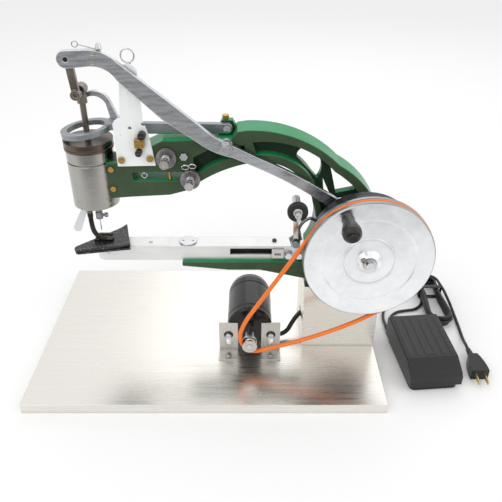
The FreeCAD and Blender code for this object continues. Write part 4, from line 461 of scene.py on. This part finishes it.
barrel_steel = finish(
    "barrel_steel", paint(168, 166, 161), paint(222, 220, 215), metallic=1.0, Edge=0.0012,
    Grain=420, Stretch=(0.03, 0.03, 1), Mottle=0.3, Wear=0.7, Smooth=0.14, Rough=0.3, Bump=0.05)
barrel_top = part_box("barrel")[1].z
by_place(barrel_steel, paint(102, 92, 84), "Z", barrel_top - BARREL_RING, BEYOND_ALL)
wear(barrel_steel, "barrel")
dark_steel = finish(
    "dark_steel", paint(62, 60, 58), paint(150, 148, 145), metallic=0.8, Edge=0.0008, Grain=180,
    Mottle=0.2, Wear=0.6, Smooth=0.3, Rough=0.5, Bump=0.06)
wear(dark_steel, "barrel_keeper", "black_screws", "motor_field", "link_pins", "crank_spindle",
     "shuttle_rack")
foot_black = finish(
    "foot_black", paint(48, 44, 40), paint(150, 142, 128), metallic=0.7, Edge=0.001, Grain=140,
    Mottle=0.2, Wear=0.8, Smooth=0.28, Rough=0.46, Bump=0.05)
by_place(foot_black, paint(118, 110, 76), "Z", SHANK_LOW, SHANK_HIGH)
wear(foot_black, "presser_bar")
spring_steel = finish(
    "spring_steel", paint(196, 196, 196), paint(235, 235, 235), metallic=1.0, Edge=0.0003,
    Grain=500, Smooth=0.2, Rough=0.34, Bump=0.01)
print("finishes", barrel_steel.name, dark_steel.name, foot_black.name, spring_steel.name)

# %% Brass and plated fittings
brass = finish(
    "brass", paint(196, 156, 84), paint(232, 205, 146), metallic=1.0, Edge=0.0006, Grain=280,
    Mottle=0.14, Smooth=0.2, Rough=0.36, Bump=0.04)
wear(brass, "brass_fittings", "bobbin", "shaft_bush")
plated = finish(
    "plated_guide", paint(206, 204, 200), paint(238, 237, 235), metallic=1.0, Edge=0.0005,
    Grain=280, Mottle=0.08, Smooth=0.14, Rough=0.28, Bump=0.02)
wear(plated, "lever_thread_guide", "winder_arm", "motor_pulley")
print("finishes", brass.name, plated.name)

# %% [markdown]
# ## Turned and cast aluminium
# The hand wheel is an aluminium disc faced on a lathe, and the tool leaves rings round its axis.
# Rings cut in the mesh would need far too many faces, so the second group draws them as bump. It
# also gives the distance from the axis, which serves as a mask: the wheel's rim is given a greyer
# colour, as painted shade. The arm and the thread plate are plain cast or rolled alloy with a soft
# grain.

# %% Lathe rings on a finish
RING_DEPTH = 0.0003
RIM_FROM = 83.6 * MM


def centre_of(node):
    """The middle of a CAD node's box."""
    low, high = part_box(node)
    return (low + high) / 2


def with_rings(material, centre, rings, depth):
    """Fine lathe rings round an axis along Y, added to a finish as bump."""
    tree = material.node_tree
    turned = add_node(tree, "Group", node_tree=lathe_rings, name="turned",
                      inputs={"Centre": centre, "Rings": rings})
    bump = add_node(tree, "Bump", {"Distance": RING_DEPTH, "Strength": depth})
    tree.links.new(turned.outputs["Ring"], bump.inputs["Height"])
    tree.links.new(tree.nodes["surface"].outputs["Normal"], bump.inputs["Normal"])
    tree.links.new(bump.outputs["Normal"], tree.nodes["Principled BSDF"].inputs["Normal"])


def by_radius(material, other, test, radius):
    """A second colour inside or outside a radius, on a finish that has lathe rings."""
    tree = material.node_tree
    chosen = add_node(tree, "Math", {1: radius}, operation=test)
    tree.links.new(tree.nodes["turned"].outputs["Radius"], chosen.inputs[0])
    blend_in(material, other, chosen.outputs[0])
    return chosen.outputs[0]


wheel_centre = centre_of("hand_wheel")
wheel_alloy = finish(
    "wheel_alloy", paint(242, 244, 246), paint(246, 246, 246), metallic=1.0, Edge=0.0015, Grain=90,
    Mottle=0.3, Wear=0.6, Smooth=0.26, Rough=0.42, Bump=0.04)
with_rings(wheel_alloy, wheel_centre, rings=1300, depth=0.25)
# The rim, from RIM_FROM outwards, is given a greyer colour: painted shade.
by_radius(wheel_alloy, paint(158, 158, 157), "GREATER_THAN", RIM_FROM)
wear(wheel_alloy, "hand_wheel")
cam_iron = finish(
    "cam_iron", paint(58, 60, 64), paint(120, 122, 124), metallic=0.85, Edge=0.001, Grain=120,
    Mottle=0.2, Smooth=0.3, Rough=0.5, Bump=0.06)
with_rings(cam_iron, wheel_centre, rings=1600, depth=0.1)
wear(cam_iron, "cam_drum")
print("finishes", wheel_alloy.name, cam_iron.name)

# %% Plate, arm and tension discs
plate_alloy = finish(
    "plate_alloy", paint(250, 253, 252), paint(252, 253, 253), metallic=0.15, Edge=0.0006,
    Grain=200, Stretch=(1, 1, 0.1), Mottle=0.07, Smooth=0.32, Rough=0.48, Bump=0.03)
wear(plate_alloy, "thread_plate")
arm_alloy = finish(
    "arm_alloy", paint(228, 229, 227), paint(246, 245, 242), metallic=0.8, Edge=0.0012, Grain=130,
    Stretch=(0.2, 1, 1), Mottle=0.32, Smooth=0.32, Rough=0.5, Bump=0.05)
wear(arm_alloy, "shuttle_arm", "needle_plate")
disc_iron = finish(
    "disc_iron", paint(150, 144, 148), paint(226, 224, 224), metallic=0.9, Edge=0.0006, Grain=160,
    Mottle=0.15, Wear=0.9, Smooth=0.24, Rough=0.4, Bump=0.03)
wear(disc_iron, "tension_discs")
wear(plated.copy(), "upper_tension_nut", "lower_tension_nut")
print("finishes", plate_alloy.name, arm_alloy.name, disc_iron.name)

# %% [markdown]
# ## Plastics, rubber and the belt
# The motor, the pedal, the leads and the plug are black plastics that differ in gloss, and the belt
# is orange rubber cord. Plastic has no bare metal under it, so its worn edges are only a paler
# grey. The plug and the winder's wheel are each one solid of two materials: a mask from the place
# or from the radius gives the blades and the spindle their own colour and makes them metal.

# %% Plastics and the belt
PLUG_BLADES = 17 * MM


def bare_metal(material, mask):
    """Makes a finish metallic where a mask says so."""
    tree = material.node_tree
    tree.links.new(mask, tree.nodes["Principled BSDF"].inputs["Metallic"])


belt_orange = finish(
    "belt_orange", paint(244, 122, 34), paint(252, 160, 80), Edge=0.0004, Grain=320, Mottle=0.12,
    Smooth=0.32, Rough=0.48, Bump=0.05, Wear=0.0)
wear(belt_orange, "drive_belt")
motor_black = finish(
    "motor_black", paint(10, 10, 13), paint(40, 40, 44), coat=0.1, specular=0.4, Edge=0.0012,
    Grain=240, Mottle=0.1, Wear=0.2, Smooth=0.16, Rough=0.26, Bump=0.02)
wear(motor_black, "motor_housing")
grip_black = finish(
    "grip_black", paint(18, 17, 18), paint(48, 46, 46), coat=0.2, Edge=0.001, Grain=260,
    Mottle=0.15, Wear=0.2, Smooth=0.3, Rough=0.46, Bump=0.03)
wear(grip_black, "crank_grip")
pedal_black = finish(
    "pedal_black", paint(20, 21, 24), paint(84, 86, 92), Edge=0.0014, Grain=900, Mottle=0.12,
    Wear=0.6, Smooth=0.28, Rough=0.44, Bump=0.06)
wear(pedal_black, "pedal_base", "pedal_treadle")
cord_black = finish(
    "cord_black", paint(10, 10, 11), paint(30, 30, 32), Edge=0.0002, Grain=600, Mottle=0.12,
    Wear=0.0, Smooth=0.3, Rough=0.42, Bump=0.03)
plug_black = finish(
    "plug_black", paint(16, 16, 18), paint(48, 48, 50), Edge=0.001, Grain=500, Mottle=0.12,
    Wear=0.2, Smooth=0.32, Rough=0.44, Bump=0.04)
plug_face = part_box("plug")[0].y + PLUG_BLADES
bare_metal(plug_black, by_place(plug_black, paint(214, 196, 140), "Y", -BEYOND_ALL, plug_face))
wear(plug_black, "plug")
print("finishes", belt_orange.name, motor_black.name, grip_black.name, pedal_black.name,
      cord_black.name, plug_black.name)

# %% Winder wheel, rubber on a bright spindle
RUBBER_FROM = 5.6 * MM

winder_rubber = finish(
    "winder_rubber", paint(22, 22, 24), paint(48, 48, 50), Edge=0.0006, Grain=300, Mottle=0.12,
    Wear=0.2, Smooth=0.42, Rough=0.6, Bump=0.05)
with_rings(winder_rubber, centre_of("winder_wheel"), rings=900, depth=0.1)
spindle = by_radius(winder_rubber, paint(214, 214, 212), "LESS_THAN", RUBBER_FROM)
bare_metal(winder_rubber, spindle)
wear(winder_rubber, "winder_wheel")
print("materials", len(bpy.data.materials))

# %% [markdown]
# ## The leads
# The machine has two leads. One runs from the motor through the pedestal, out behind it and round
# to the pedal. The other is the mains lead: it leaves the pedal, lies in a tied hank and ends in
# the plug. A cord is a smooth line, so each is one NURBS spline that takes the route's points as
# its control points. The hank's loops are worked out: straight sides that draw in at the tie, and
# round ends whose control points stand a little outside the bend, so that the spline lies on it.

# %% Motor lead
CORD_R = 2.3
FLOOR_LINE = 2.4
TRAY_LINE = 17.4
SPLINE_STEPS = 8
ROUND_STEPS = 5

motor_route = [
    (91.11, -28, 32.57), (99.15, -28, 25.82), (110.7, -25.6, 23.4), (120.7, -19.8, 26.7),
    (126.5, -13.1, 34.4), (133.8, -4.7, 41.3), (145, 4.5, 47.6), (158, 13, 46.5),
    (170, 22.5, 39.5), (180, 34, 29), (188, 48, 21), (198, 63, TRAY_LINE + 0.2),
    (209, 79, TRAY_LINE), (221, 94, TRAY_LINE + 0.2), (232, 107, 19.5), (243, 118, 22),
    (254, 126, 21.5), (266, 133, 13.5), (276, 138, 4.5), (291, 146, FLOOR_LINE),
    (308, 153, FLOOR_LINE), (325, 154, FLOOR_LINE), (339, 145, FLOOR_LINE),
    (345, 129.5, FLOOR_LINE), (343, 113, FLOOR_LINE), (333, 100, FLOOR_LINE),
    (318, 92, FLOOR_LINE), (303, 83, FLOOR_LINE), (292, 70, FLOOR_LINE), (285.5, 54, FLOOR_LINE),
    (283, 37.5, FLOOR_LINE), (283.6, 23, 3.2), (284.32, 12.09, 4.2), (285.19, 2.13, 4.2)]


def lead(name, route, radius):
    """A cord as one smooth spline with the route's points as its control points."""
    curve = bpy.data.curves.new(name, "CURVE")
    curve.dimensions = "3D"
    spline = curve.splines.new("NURBS")
    spline.points.add(len(route) - 1)
    for point, place in zip(spline.points, route):
        point.co = (*mm(*place), 1)
    spline.order_u = 3
    spline.use_endpoint_u = True
    spline.use_smooth = True
    curve.resolution_u = SPLINE_STEPS
    curve.bevel_depth = radius * MM
    curve.bevel_resolution = ROUND_STEPS
    curve.use_fill_caps = True
    piece = bpy.data.objects.new(name, curve)
    bpy.context.scene.collection.objects.link(piece)
    curve.materials.append(cord_black)
    return piece


def line_of(route):
    """Points along a route's spline, read from the curve with no thickness."""
    bare = lead("bare_line", route, 0)
    depsgraph = bpy.context.evaluated_depsgraph_get()
    mesh = bpy.data.meshes.new_from_object(bare.evaluated_get(depsgraph))
    points = [vertex.co.copy() for vertex in mesh.vertices]
    bpy.data.objects.remove(bare)
    bpy.data.meshes.remove(mesh)
    return points


motor_lead = lead("motor_lead", motor_route, CORD_R)
motor_line = line_of(motor_route)
print("motor lead points", len(motor_line))

# %% The hank's loops
HANK_X = 375.0
HANK_FRONT = 39.0
HANK_WAIST = 105.0
HANK_BACK = 127.0
HANK_IN_R = 14.6
HANK_OUT_R = 20.0
HANK_LAYER = 5.2
HANK_LAYERS = 4
WAIST_DRAW = 4.0
WAIST_LIFT = 1.0
EIGHTHS = 8
HALF_TURN = 4
LONG_SHARES = (0.15, 0.5, 0.85)
SHORT_SHARES = (0.5,)
BEND_SHARES = (1 / 6, 3 / 6, 5 / 6)
OUTSIDE_BEND = 1 / math.cos(math.pi / 12)
# The eighths of a loop: a side is left or right, from one place to another, with its shares of
# that way, and a bend has the middle that it goes round and the angle that it starts at.
LOOP_SIDES = {
    0: (-1, HANK_FRONT, HANK_WAIST, LONG_SHARES), 1: (-1, HANK_WAIST, HANK_BACK, SHORT_SHARES),
    4: (1, HANK_BACK, HANK_WAIST, SHORT_SHARES), 5: (1, HANK_WAIST, HANK_FRONT, LONG_SHARES)}
LOOP_BENDS = {
    2: (HANK_BACK, math.pi), 3: (HANK_BACK, math.pi / 2),
    6: (HANK_FRONT, 0.0), 7: (HANK_FRONT, -math.pi / 2)}


def hank_stations():
    """Radius and height at each eighth: a layer winds in or out, then half a turn climbs."""
    stations = []
    for layer in range(HANK_LAYERS):
        height = FLOOR_LINE + HANK_LAYER * layer
        first, last = (HANK_OUT_R, HANK_IN_R) if layer % 2 == 0 else (HANK_IN_R, HANK_OUT_R)
        for eighth in range(EIGHTHS + 1):
            if eighth or not layer:
                stations.append((first + (last - first) * eighth / EIGHTHS, height))
        if layer < HANK_LAYERS - 1:
            stations += [(last, height + HANK_LAYER * k / HALF_TURN)
                         for k in range(1, HALF_TURN + 1)]
    return stations


def on_side(part, share, radius, height):
    """A control point on a side, which draws in and rises a little towards the tie."""
    side, start, end, _ = LOOP_SIDES[part]
    drawn = share if end == HANK_WAIST else 1 - share
    ease = drawn * drawn * (3 - 2 * drawn)
    return (HANK_X + side * (radius - WAIST_DRAW * ease), start + (end - start) * share,
            height + WAIST_LIFT * ease)


def on_bend(part, share, radius, height):
    """A control point of a quarter bend, a little outside it."""
    middle, start = LOOP_BENDS[part]
    angle = start - math.pi / 2 * share
    reach = radius * OUTSIDE_BEND
    return (HANK_X + reach * math.cos(angle), middle + reach * math.sin(angle), height)


def hank_route():
    """Control points of all loops, from the left side's waist onwards."""
    stations = hank_stations()
    route = []
    for step in range(1, len(stations) - 1):
        part = step % EIGHTHS
        (r0, z0), (r1, z1) = stations[step], stations[step + 1]
        bends = part in LOOP_BENDS
        for share in BEND_SHARES if bends else LOOP_SIDES[part][-1]:
            radius = r0 + (r1 - r0) * share
            height = z0 + (z1 - z0) * share
            route.append((on_bend if bends else on_side)(part, share, radius, height))
    return route


hank = hank_route()
print("hank points", len(hank))

# %% Mains lead
mains_route = [
    (294.15, 2.91, 4.2), (293.28, 12.87, 4.2), (292.6, 25, 3), (294, 38, FLOOR_LINE),
    (300, 50, FLOOR_LINE), (311, 58.5, FLOOR_LINE), (325, 62, FLOOR_LINE), (339, 64, FLOOR_LINE),
    (350, 71.5, FLOOR_LINE), (357, 82, FLOOR_LINE), (359.75, 92, FLOOR_LINE + 0.5),
    (359.75, 104, FLOOR_LINE + WAIST_LIFT)]
plug_route = [
    (395.2, 122.4, 18.4), (396.4, 112, 18.4), (398.6, 101, 16.5), (400.5, 89.5, 12.8),
    (403, 77, 8), (404, 64, 4.2), (404, 50, 2.6), (403.3, 35, FLOOR_LINE), (402.3, 19, FLOOR_LINE),
    (401, 3, FLOOR_LINE), (399.5, -11, 3.4), (398, -23, 6.2), (397, -34.5, 8.6), (397, -44, 8.6)]
whole_route = mains_route + hank + plug_route
mains_lead = lead("mains_lead", whole_route, CORD_R)
mains_line = line_of(whole_route)


def length_of(line):
    """The length of a line of points, in metres."""
    return sum((b - a).length for a, b in zip(line, line[1:]))


print("motor lead", round(length_of(motor_line), 4), "mains lead", round(length_of(mains_line), 4))

# %% [markdown]
# ## Strain reliefs, sleeve and tie
# Where a lead leaves the pedal it runs through a short tapered boot with ribs, and a thicker black
# sleeve covers the motor's lead up to the pedestal. Each follows the lead's own spline: the stretch
# of line that it covers is read from the spline, and a tube is drawn along it whose radius changes
# from point to point. The hank is held by a narrow strap. That is a box without its front and back,
# with its corners rounded, then given a thickness by Solidify and soft edges by Bevel.

# %% Stretches of lead that are covered
BOOT_LENGTH, BOOT_STEP = 0.022, 0.0011
SLEEVE_START, SLEEVE_END, SLEEVE_STEP = 0.006, 0.074, 0.001


def stretch(line, start, end, step):
    """Points of a line between two distances along it, in metres, evenly spaced."""
    places = []
    walked = 0.0
    goal = start
    for a, b in zip(line, line[1:]):
        span = (b - a).length
        while span and goal <= min(end, walked + span):
            places.append(a.lerp(b, (goal - walked) / span))
            goal += step
        walked += span
    return places


mains_boot_line = stretch(mains_line, 0.0, BOOT_LENGTH, BOOT_STEP)
motor_boot_line = stretch(motor_line[::-1], 0.0, BOOT_LENGTH, BOOT_STEP)
sleeve_line = stretch(motor_line, SLEEVE_START, SLEEVE_END, SLEEVE_STEP)
print("covered points", len(mains_boot_line), len(motor_boot_line), len(sleeve_line))

# %% Boots and sleeve, as tubes along those stretches
BOOT_R = 3.6
BOOT_WALL = 0.25
RIB = 0.35
RIB_PITCH = 4
RIB_STEPS = 2
SLEEVE_R = 3.5
SLEEVE_RIDGE = 0.2


def select_only(*pieces):
    """Selects these pieces and nothing else, and makes the first one active."""
    bpy.ops.object.select_all(action="DESELECT")
    for piece in pieces:
        piece.select_set(True)
    bpy.context.view_layer.objects.active = pieces[0]


def tube_along(name, line, radii):
    """A tube along points with a radius in millimetres at each, made a mesh."""
    curve = bpy.data.curves.new(name, "CURVE")
    curve.dimensions = "3D"
    spline = curve.splines.new("POLY")
    spline.points.add(len(line) - 1)
    for point, place, radius in zip(spline.points, line, radii):
        point.co = (*place, 1)
        point.radius = radius
    curve.bevel_depth = MM
    curve.bevel_resolution = ROUND_STEPS
    curve.use_fill_caps = True
    piece = bpy.data.objects.new(name, curve)
    bpy.context.scene.collection.objects.link(piece)
    select_only(piece)
    bpy.ops.object.convert(target="MESH")
    bpy.ops.object.shade_smooth_by_angle(angle=math.radians(40))
    return piece


def boot(name, line):
    """A tapered, ribbed strain relief."""
    last = len(line) - 1
    taper = BOOT_R - CORD_R - BOOT_WALL
    radii = []
    for k in range(last + 1):
        on_rib = k % RIB_PITCH < RIB_STEPS and k < last - RIB_STEPS
        radii.append(BOOT_R - taper * k / last + (RIB if on_rib else 0.0))
    piece = tube_along(name, line, radii)
    wear(pedal_black, name)
    return piece


mains_boot = boot("mains_boot", mains_boot_line)
motor_boot = boot("motor_boot", motor_boot_line)
sleeve_radii = [SLEEVE_R + SLEEVE_RIDGE * (-1) ** k for k in range(len(sleeve_line))]
lead_sleeve = tube_along("lead_sleeve", sleeve_line, sleeve_radii)
lead_sleeve.data.materials.append(cord_black)
for piece in (mains_boot, motor_boot, lead_sleeve):
    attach(piece, "base")
print("boots", len(mains_boot.data.polygons), "sleeve", len(lead_sleeve.data.polygons))

# %% Strap round the hank
TIE_WIDTH = 9.0
TIE_THICK = 0.8
TIE_CORNER = 2.5
TIE_EDGE = 0.25
TIE_FLOOR = 0.15
TIE_ROOM = 0.3
NEARLY_ALONG = 0.9
tie_half = HANK_OUT_R - WAIST_DRAW + CORD_R + TIE_ROOM
tie_low = TIE_FLOOR + TIE_THICK
tie_high = FLOOR_LINE + HANK_LAYER * (HANK_LAYERS - 1) + WAIST_LIFT + CORD_R + TIE_ROOM


def pick(piece, mode, test):
    """Edit mode, with only the faces or edges chosen that pass a test."""
    if piece.mode != "EDIT":
        bpy.ops.object.mode_set(mode="EDIT")
    bpy.ops.mesh.select_mode(type=mode)
    bpy.ops.mesh.select_all(action="DESELECT")
    bpy.ops.object.mode_set(mode="OBJECT")
    for item in piece.data.polygons if mode == "FACE" else piece.data.edges:
        item.select = test(item)
    bpy.ops.object.mode_set(mode="EDIT")


def runs_along_y(edge):
    """Whether an edge of the strap runs across its width."""
    a, b = (tie.data.vertices[k].co for k in edge.vertices)
    return abs((b - a).normalized().y) > NEARLY_ALONG


def apply_modifier(piece, kind, **settings):
    """A modifier added to the active piece and applied at once."""
    modifier = piece.modifiers.new(kind, kind)
    for label, value in settings.items():
        setattr(modifier, label, value)
    bpy.ops.object.modifier_apply(modifier=modifier.name)


bpy.ops.object.select_all(action="DESELECT")
bpy.ops.mesh.primitive_cube_add(size=1, location=mm(HANK_X, HANK_WAIST, (tie_low + tie_high) / 2))
tie = bpy.context.object
tie.name = "hank_tie"
tie.scale = mm(2 * tie_half, TIE_WIDTH, tie_high - tie_low)
bpy.ops.object.transform_apply(location=True, rotation=True, scale=True)
pick(tie, "FACE", lambda face: abs(face.normal.y) > NEARLY_ALONG)
bpy.ops.mesh.delete(type="FACE")
pick(tie, "EDGE", runs_along_y)
bpy.ops.mesh.bevel(offset=TIE_CORNER * MM, segments=6)
bpy.ops.object.mode_set(mode="OBJECT")
apply_modifier(tie, "SOLIDIFY", thickness=TIE_THICK * MM, offset=1)
apply_modifier(tie, "BEVEL", width=TIE_EDGE * MM, segments=2, limit_method="ANGLE")
bpy.ops.object.shade_smooth_by_angle(angle=math.radians(35))
tie.data.materials.append(cord_black)
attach(tie, "base")
print("tie", len(tie.data.polygons), brief(tie.bound_box[0]), brief(tie.bound_box[6]))

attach(motor_lead, "base")
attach(mains_lead, "base")
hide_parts("motor_cord")
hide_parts("mains_cord", "cord_hank", "plug_cord")
print("leads", motor_lead.name, mains_lead.name)

# %% [markdown]
# ## Springs
# Four springs work in the machine: one in the barrel, one in the pedal and one on each tension
# post. Each is round wire wound in a helix. A helix is a formula, so its points are worked out, and
# a tube is drawn along them.

# %% Springs of the pedal and the presser
WIRE = 0.7 * MM
TURN_STEPS = 24


def spring(name, base, axis, length, radius, turns):
    """A helix of wire from base along axis."""
    along = Vector(axis).normalized()
    across = along.orthogonal().normalized()
    third = along.cross(across)
    count = turns * TURN_STEPS
    line = []
    for k in range(count + 1):
        angle = 2 * math.pi * k / TURN_STEPS
        outward = across * math.cos(angle) + third * math.sin(angle)
        line.append(base + along * (length * k / count) + outward * radius)
    piece = tube_along(name, line, [WIRE / MM] * len(line))
    piece.data.materials.append(spring_steel)
    print(name, len(piece.data.polygons))
    return piece


def spring_between(name, node, radius, turns, body):
    """An upright spring that stands where its CAD node stands, and its lower end."""
    low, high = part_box(node)
    middle = (low + high) / 2
    upright = Vector((0, 0, 1))
    half = (high - middle).dot(upright) - WIRE
    base = middle - upright * half
    piece = spring(name, base, upright, 2 * half, radius, turns)
    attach(piece, body)
    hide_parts(node)
    return piece, base


pedal_coil, pedal_seat = spring_between(
    "pedal_coil", "pedal_spring", radius=7 * MM, turns=5, body="base")
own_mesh(pedal_coil)
presser_coil, presser_seat = spring_between(
    "presser_coil", "presser_spring", radius=5.4 * MM, turns=7, body="head_barrel")
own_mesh(presser_coil)
print("seats", brief(pedal_seat), brief(presser_seat))

# %% Springs of the tension posts
TENSION_R = 5.6 * MM

springs_low, springs_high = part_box("tension_springs")
tension_length = springs_high.y - springs_low.y - 2 * WIRE
for which in ("upper", "lower"):
    post = centre_of(which + "_tension_nut")
    base = Vector((post.x, springs_low.y + WIRE, post.z))
    coil = spring(which + "_tension_coil", base, (0, 1, 0), tension_length, TENSION_R, turns=4)
    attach(coil, "base")
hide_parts("tension_springs")

# %% [markdown]
# ## Leather under the foot
# A folded scrap of black leather lies on the arm: two plies that meet in a round fold at the narrow
# left end, and the top one stands up a little at its right end. Two slabs would look much the same,
# but one folded sheet has the true size of the cut. So a flat grid is the cut leather. It is folded
# by moving its points, given its thickness with a Solidify modifier, pierced where the needle goes,
# and sewn with a row of stitches along its front.

# %% Folded scrap
NEEDLE_X = -150.0
LEATHER_LOW, LEATHER_HIGH = (corner.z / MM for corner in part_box("leather_strip"))
PLY = 2.7
FRONT_LEFT, BACK_LEFT = Vector((-29, -37)), Vector((-33.5, -27))
FRONT_RIGHT, BACK_RIGHT = Vector((43.5, -23)), Vector((29, 35.5))
ROWS, COLUMNS = 22, 88
FOOT_REACH = 27.0
CURL = 3.2
FOLD_SHARE = 0.06
FOLD_ALONG = 0.035
fold_radius = (LEATHER_HIGH - LEATHER_LOW - PLY) / 2
middle_z = (LEATHER_HIGH + LEATHER_LOW) / 2


def curl(place):
    """How far the top ply stands up, right of the needle and out of the foot's reach."""
    past_foot = max(0.0, place.length - FOOT_REACH) / (FRONT_RIGHT.length - FOOT_REACH)
    return CURL * past_foot ** 2 if place.x > 0 else 0.0


def folded(u, v):
    """A point of the cut, folded: u is -1 at the lower ply's end, 0 in the fold, 1 at the top's."""
    if abs(u) < FOLD_SHARE:
        angle = math.pi / 2 * u / FOLD_SHARE
        along, rise = FOLD_ALONG * (1 - math.cos(angle)), fold_radius * math.sin(angle)
    else:
        flat_share = (abs(u) - FOLD_SHARE) / (1 - FOLD_SHARE)
        along = FOLD_ALONG + flat_share * (1 - FOLD_ALONG)
        rise = math.copysign(fold_radius, u)
    front = FRONT_LEFT.lerp(FRONT_RIGHT, along)
    back = BACK_LEFT.lerp(BACK_RIGHT, along)
    place = front.lerp(back, v)
    if u > FOLD_SHARE:
        rise += curl(place)
    return mm(NEEDLE_X + place.x, place.y, middle_z + rise)


bpy.ops.object.select_all(action="DESELECT")
bpy.ops.mesh.primitive_grid_add(x_subdivisions=COLUMNS, y_subdivisions=ROWS, size=2)
leather = bpy.context.object
leather.name = "leather_scrap"
for vertex in leather.data.vertices:
    vertex.co = folded(vertex.co.x, (vertex.co.y + 1) / 2)
bpy.ops.object.mode_set(mode="EDIT")
bpy.ops.mesh.select_all(action="SELECT")
bpy.ops.mesh.normals_make_consistent(inside=False)
bpy.ops.object.mode_set(mode="OBJECT")

# %% Thickness and the needle's hole
HOLE_R = 1.3
HOLE_SIDES = 24
AWL_LENGTH = 30

apply_modifier(leather, "SOLIDIFY", thickness=PLY * MM, offset=0)
bpy.ops.object.select_all(action="DESELECT")
bpy.ops.mesh.primitive_cylinder_add(vertices=HOLE_SIDES, radius=HOLE_R * MM, depth=AWL_LENGTH * MM,
                                    location=mm(NEEDLE_X, 0, middle_z))
awl = bpy.context.object
select_only(leather)
apply_modifier(leather, "BOOLEAN", operation="DIFFERENCE", object=awl)
bpy.data.objects.remove(awl)
bpy.ops.object.shade_smooth_by_angle(angle=math.radians(40))
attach(leather, "base")
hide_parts("leather_strip")
print("leather", len(leather.data.polygons),
      brief(leather.bound_box[0]), brief(leather.bound_box[6]))

# %% Grained black leather
PORE_SCALE = 250
PORE_DEPTH = 0.0004
GRAIN_HIGHLIGHT = {"From Max": 0.34, "To Min": 0.75, "To Max": 0.0}

leather_black = finish(
    "leather_black", paint(36, 34, 36), paint(92, 88, 86), Edge=0.0008, Grain=700, Mottle=0.3,
    Wear=0.6, Smooth=0.3, Rough=0.5, Bump=0.35)
hide = leather_black.node_tree
pore_place = add_node(hide, "TexCoord")
pores = add_node(hide, "TexVoronoi", {"Scale": PORE_SCALE})
pore_bump = add_node(hide, "Bump", {"Distance": PORE_DEPTH, "Strength": 1.0})
# The grain's cell centres are given a lighter grey: painted highlight.
grain_highlight = add_node(hide, "MapRange", GRAIN_HIGHLIGHT)
hide.links.new(pore_place.outputs["Object"], pores.inputs["Vector"])
hide.links.new(pores.outputs["Distance"], pore_bump.inputs["Height"])
hide.links.new(hide.nodes["surface"].outputs["Normal"], pore_bump.inputs["Normal"])
hide.links.new(pore_bump.outputs["Normal"], hide.nodes["Principled BSDF"].inputs["Normal"])
hide.links.new(pores.outputs["Distance"], grain_highlight.inputs["Value"])
blend_in(leather_black, paint(158, 156, 156), grain_highlight.outputs[0])
wear(leather_black, "leather_scrap")
print("finish", leather_black.name)

# %% Stitches along the front edge
STITCHES = 13
STITCH_LENGTH = 3.6
STITCH_STEPS = 8
STITCH_R = 0.45
STITCH_TAPER = 0.35
STITCH_RISE = 0.12
STITCH_DIP = 0.6
SEAM_IN_LEFT, SEAM_IN_RIGHT = 0.25, 0.12
SEAM_FROM, SEAM_RUN = 0.08, 0.86

thread_grey = finish(
    "thread_grey", paint(150, 148, 144), paint(190, 188, 184), Edge=0.0002, Grain=900, Mottle=0.2,
    Smooth=0.6, Rough=0.75, Bump=0.1, Wear=0.0)
seam_left = FRONT_LEFT.lerp(BACK_LEFT, SEAM_IN_LEFT)
seam_right = FRONT_RIGHT.lerp(BACK_RIGHT, SEAM_IN_RIGHT)
seam = [seam_left.lerp(seam_right, SEAM_FROM + SEAM_RUN * k / (STITCHES - 1))
        for k in range(STITCHES)]
seam_way = math.atan2((seam[-1] - seam[0]).y, (seam[-1] - seam[0]).x)
stitches = []
for k, place in enumerate(seam):
    top = LEATHER_HIGH + curl(place) + STITCH_RISE
    bow, radii = [], []
    for step in range(STITCH_STEPS + 1):
        share = 2 * step / STITCH_STEPS - 1
        reach = share * STITCH_LENGTH / 2
        bow.append(mm(NEEDLE_X + place.x + reach * math.cos(seam_way),
                      place.y + reach * math.sin(seam_way), top - STITCH_DIP * share ** 4))
        radii.append(STITCH_R * (1 - STITCH_TAPER * share ** 2))
    stitches.append(tube_along("stitch_" + str(k), bow, radii))
select_only(*stitches)
bpy.ops.object.join()
stitch_row = stitches[0]
stitch_row.name = "leather_stitches"
bpy.ops.object.shade_smooth()
bpy.ops.object.transform_apply(location=True, rotation=True, scale=True)
wear(thread_grey, "leather_stitches")
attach(stitch_row, "base")
print("stitches", STITCHES, len(stitch_row.data.polygons))

# %% [markdown]
# ## Clamp block on the wheel's hub
# A small square block beside the shaft's end keeps the wheel from turning on the shaft. It starts
# as a cube. Its front is drawn in by an inset and sunk a little by an extrude, which keeps its
# faces square, and then all its edges are broken. It turns with the wheel.

# %% Clamp block
BLOCK = 5.6
BLOCK_DEPTH = 8.5
BLOCK_PLACE = (207.6, -103.4, 208.2)
BLOCK_TURN = -38
BLOCK_MARGIN = 1.0
BLOCK_SINK = 0.7
BLOCK_EDGE = 0.35

bpy.ops.object.select_all(action="DESELECT")
bpy.ops.mesh.primitive_cube_add(
    size=1, location=mm(*BLOCK_PLACE), rotation=(0, math.radians(BLOCK_TURN), 0))
block = bpy.context.object
block.name = "hub_block"
block.scale = mm(BLOCK, BLOCK_DEPTH, BLOCK)
bpy.ops.object.transform_apply(location=True, rotation=True, scale=True)
pick(block, "FACE", lambda face: face.normal.y < -NEARLY_ALONG)
bpy.ops.mesh.inset(thickness=BLOCK_MARGIN * MM)
bpy.ops.mesh.extrude_region_move(TRANSFORM_OT_translate={"value": (0, BLOCK_SINK * MM, 0)})
bpy.ops.object.mode_set(mode="OBJECT")
apply_modifier(block, "BEVEL", width=BLOCK_EDGE * MM, segments=2)
bpy.ops.object.shade_smooth_by_angle(angle=math.radians(30))
block.data.materials.append(brown_steel)
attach(block, "drive")
print("hub block", len(block.data.polygons))
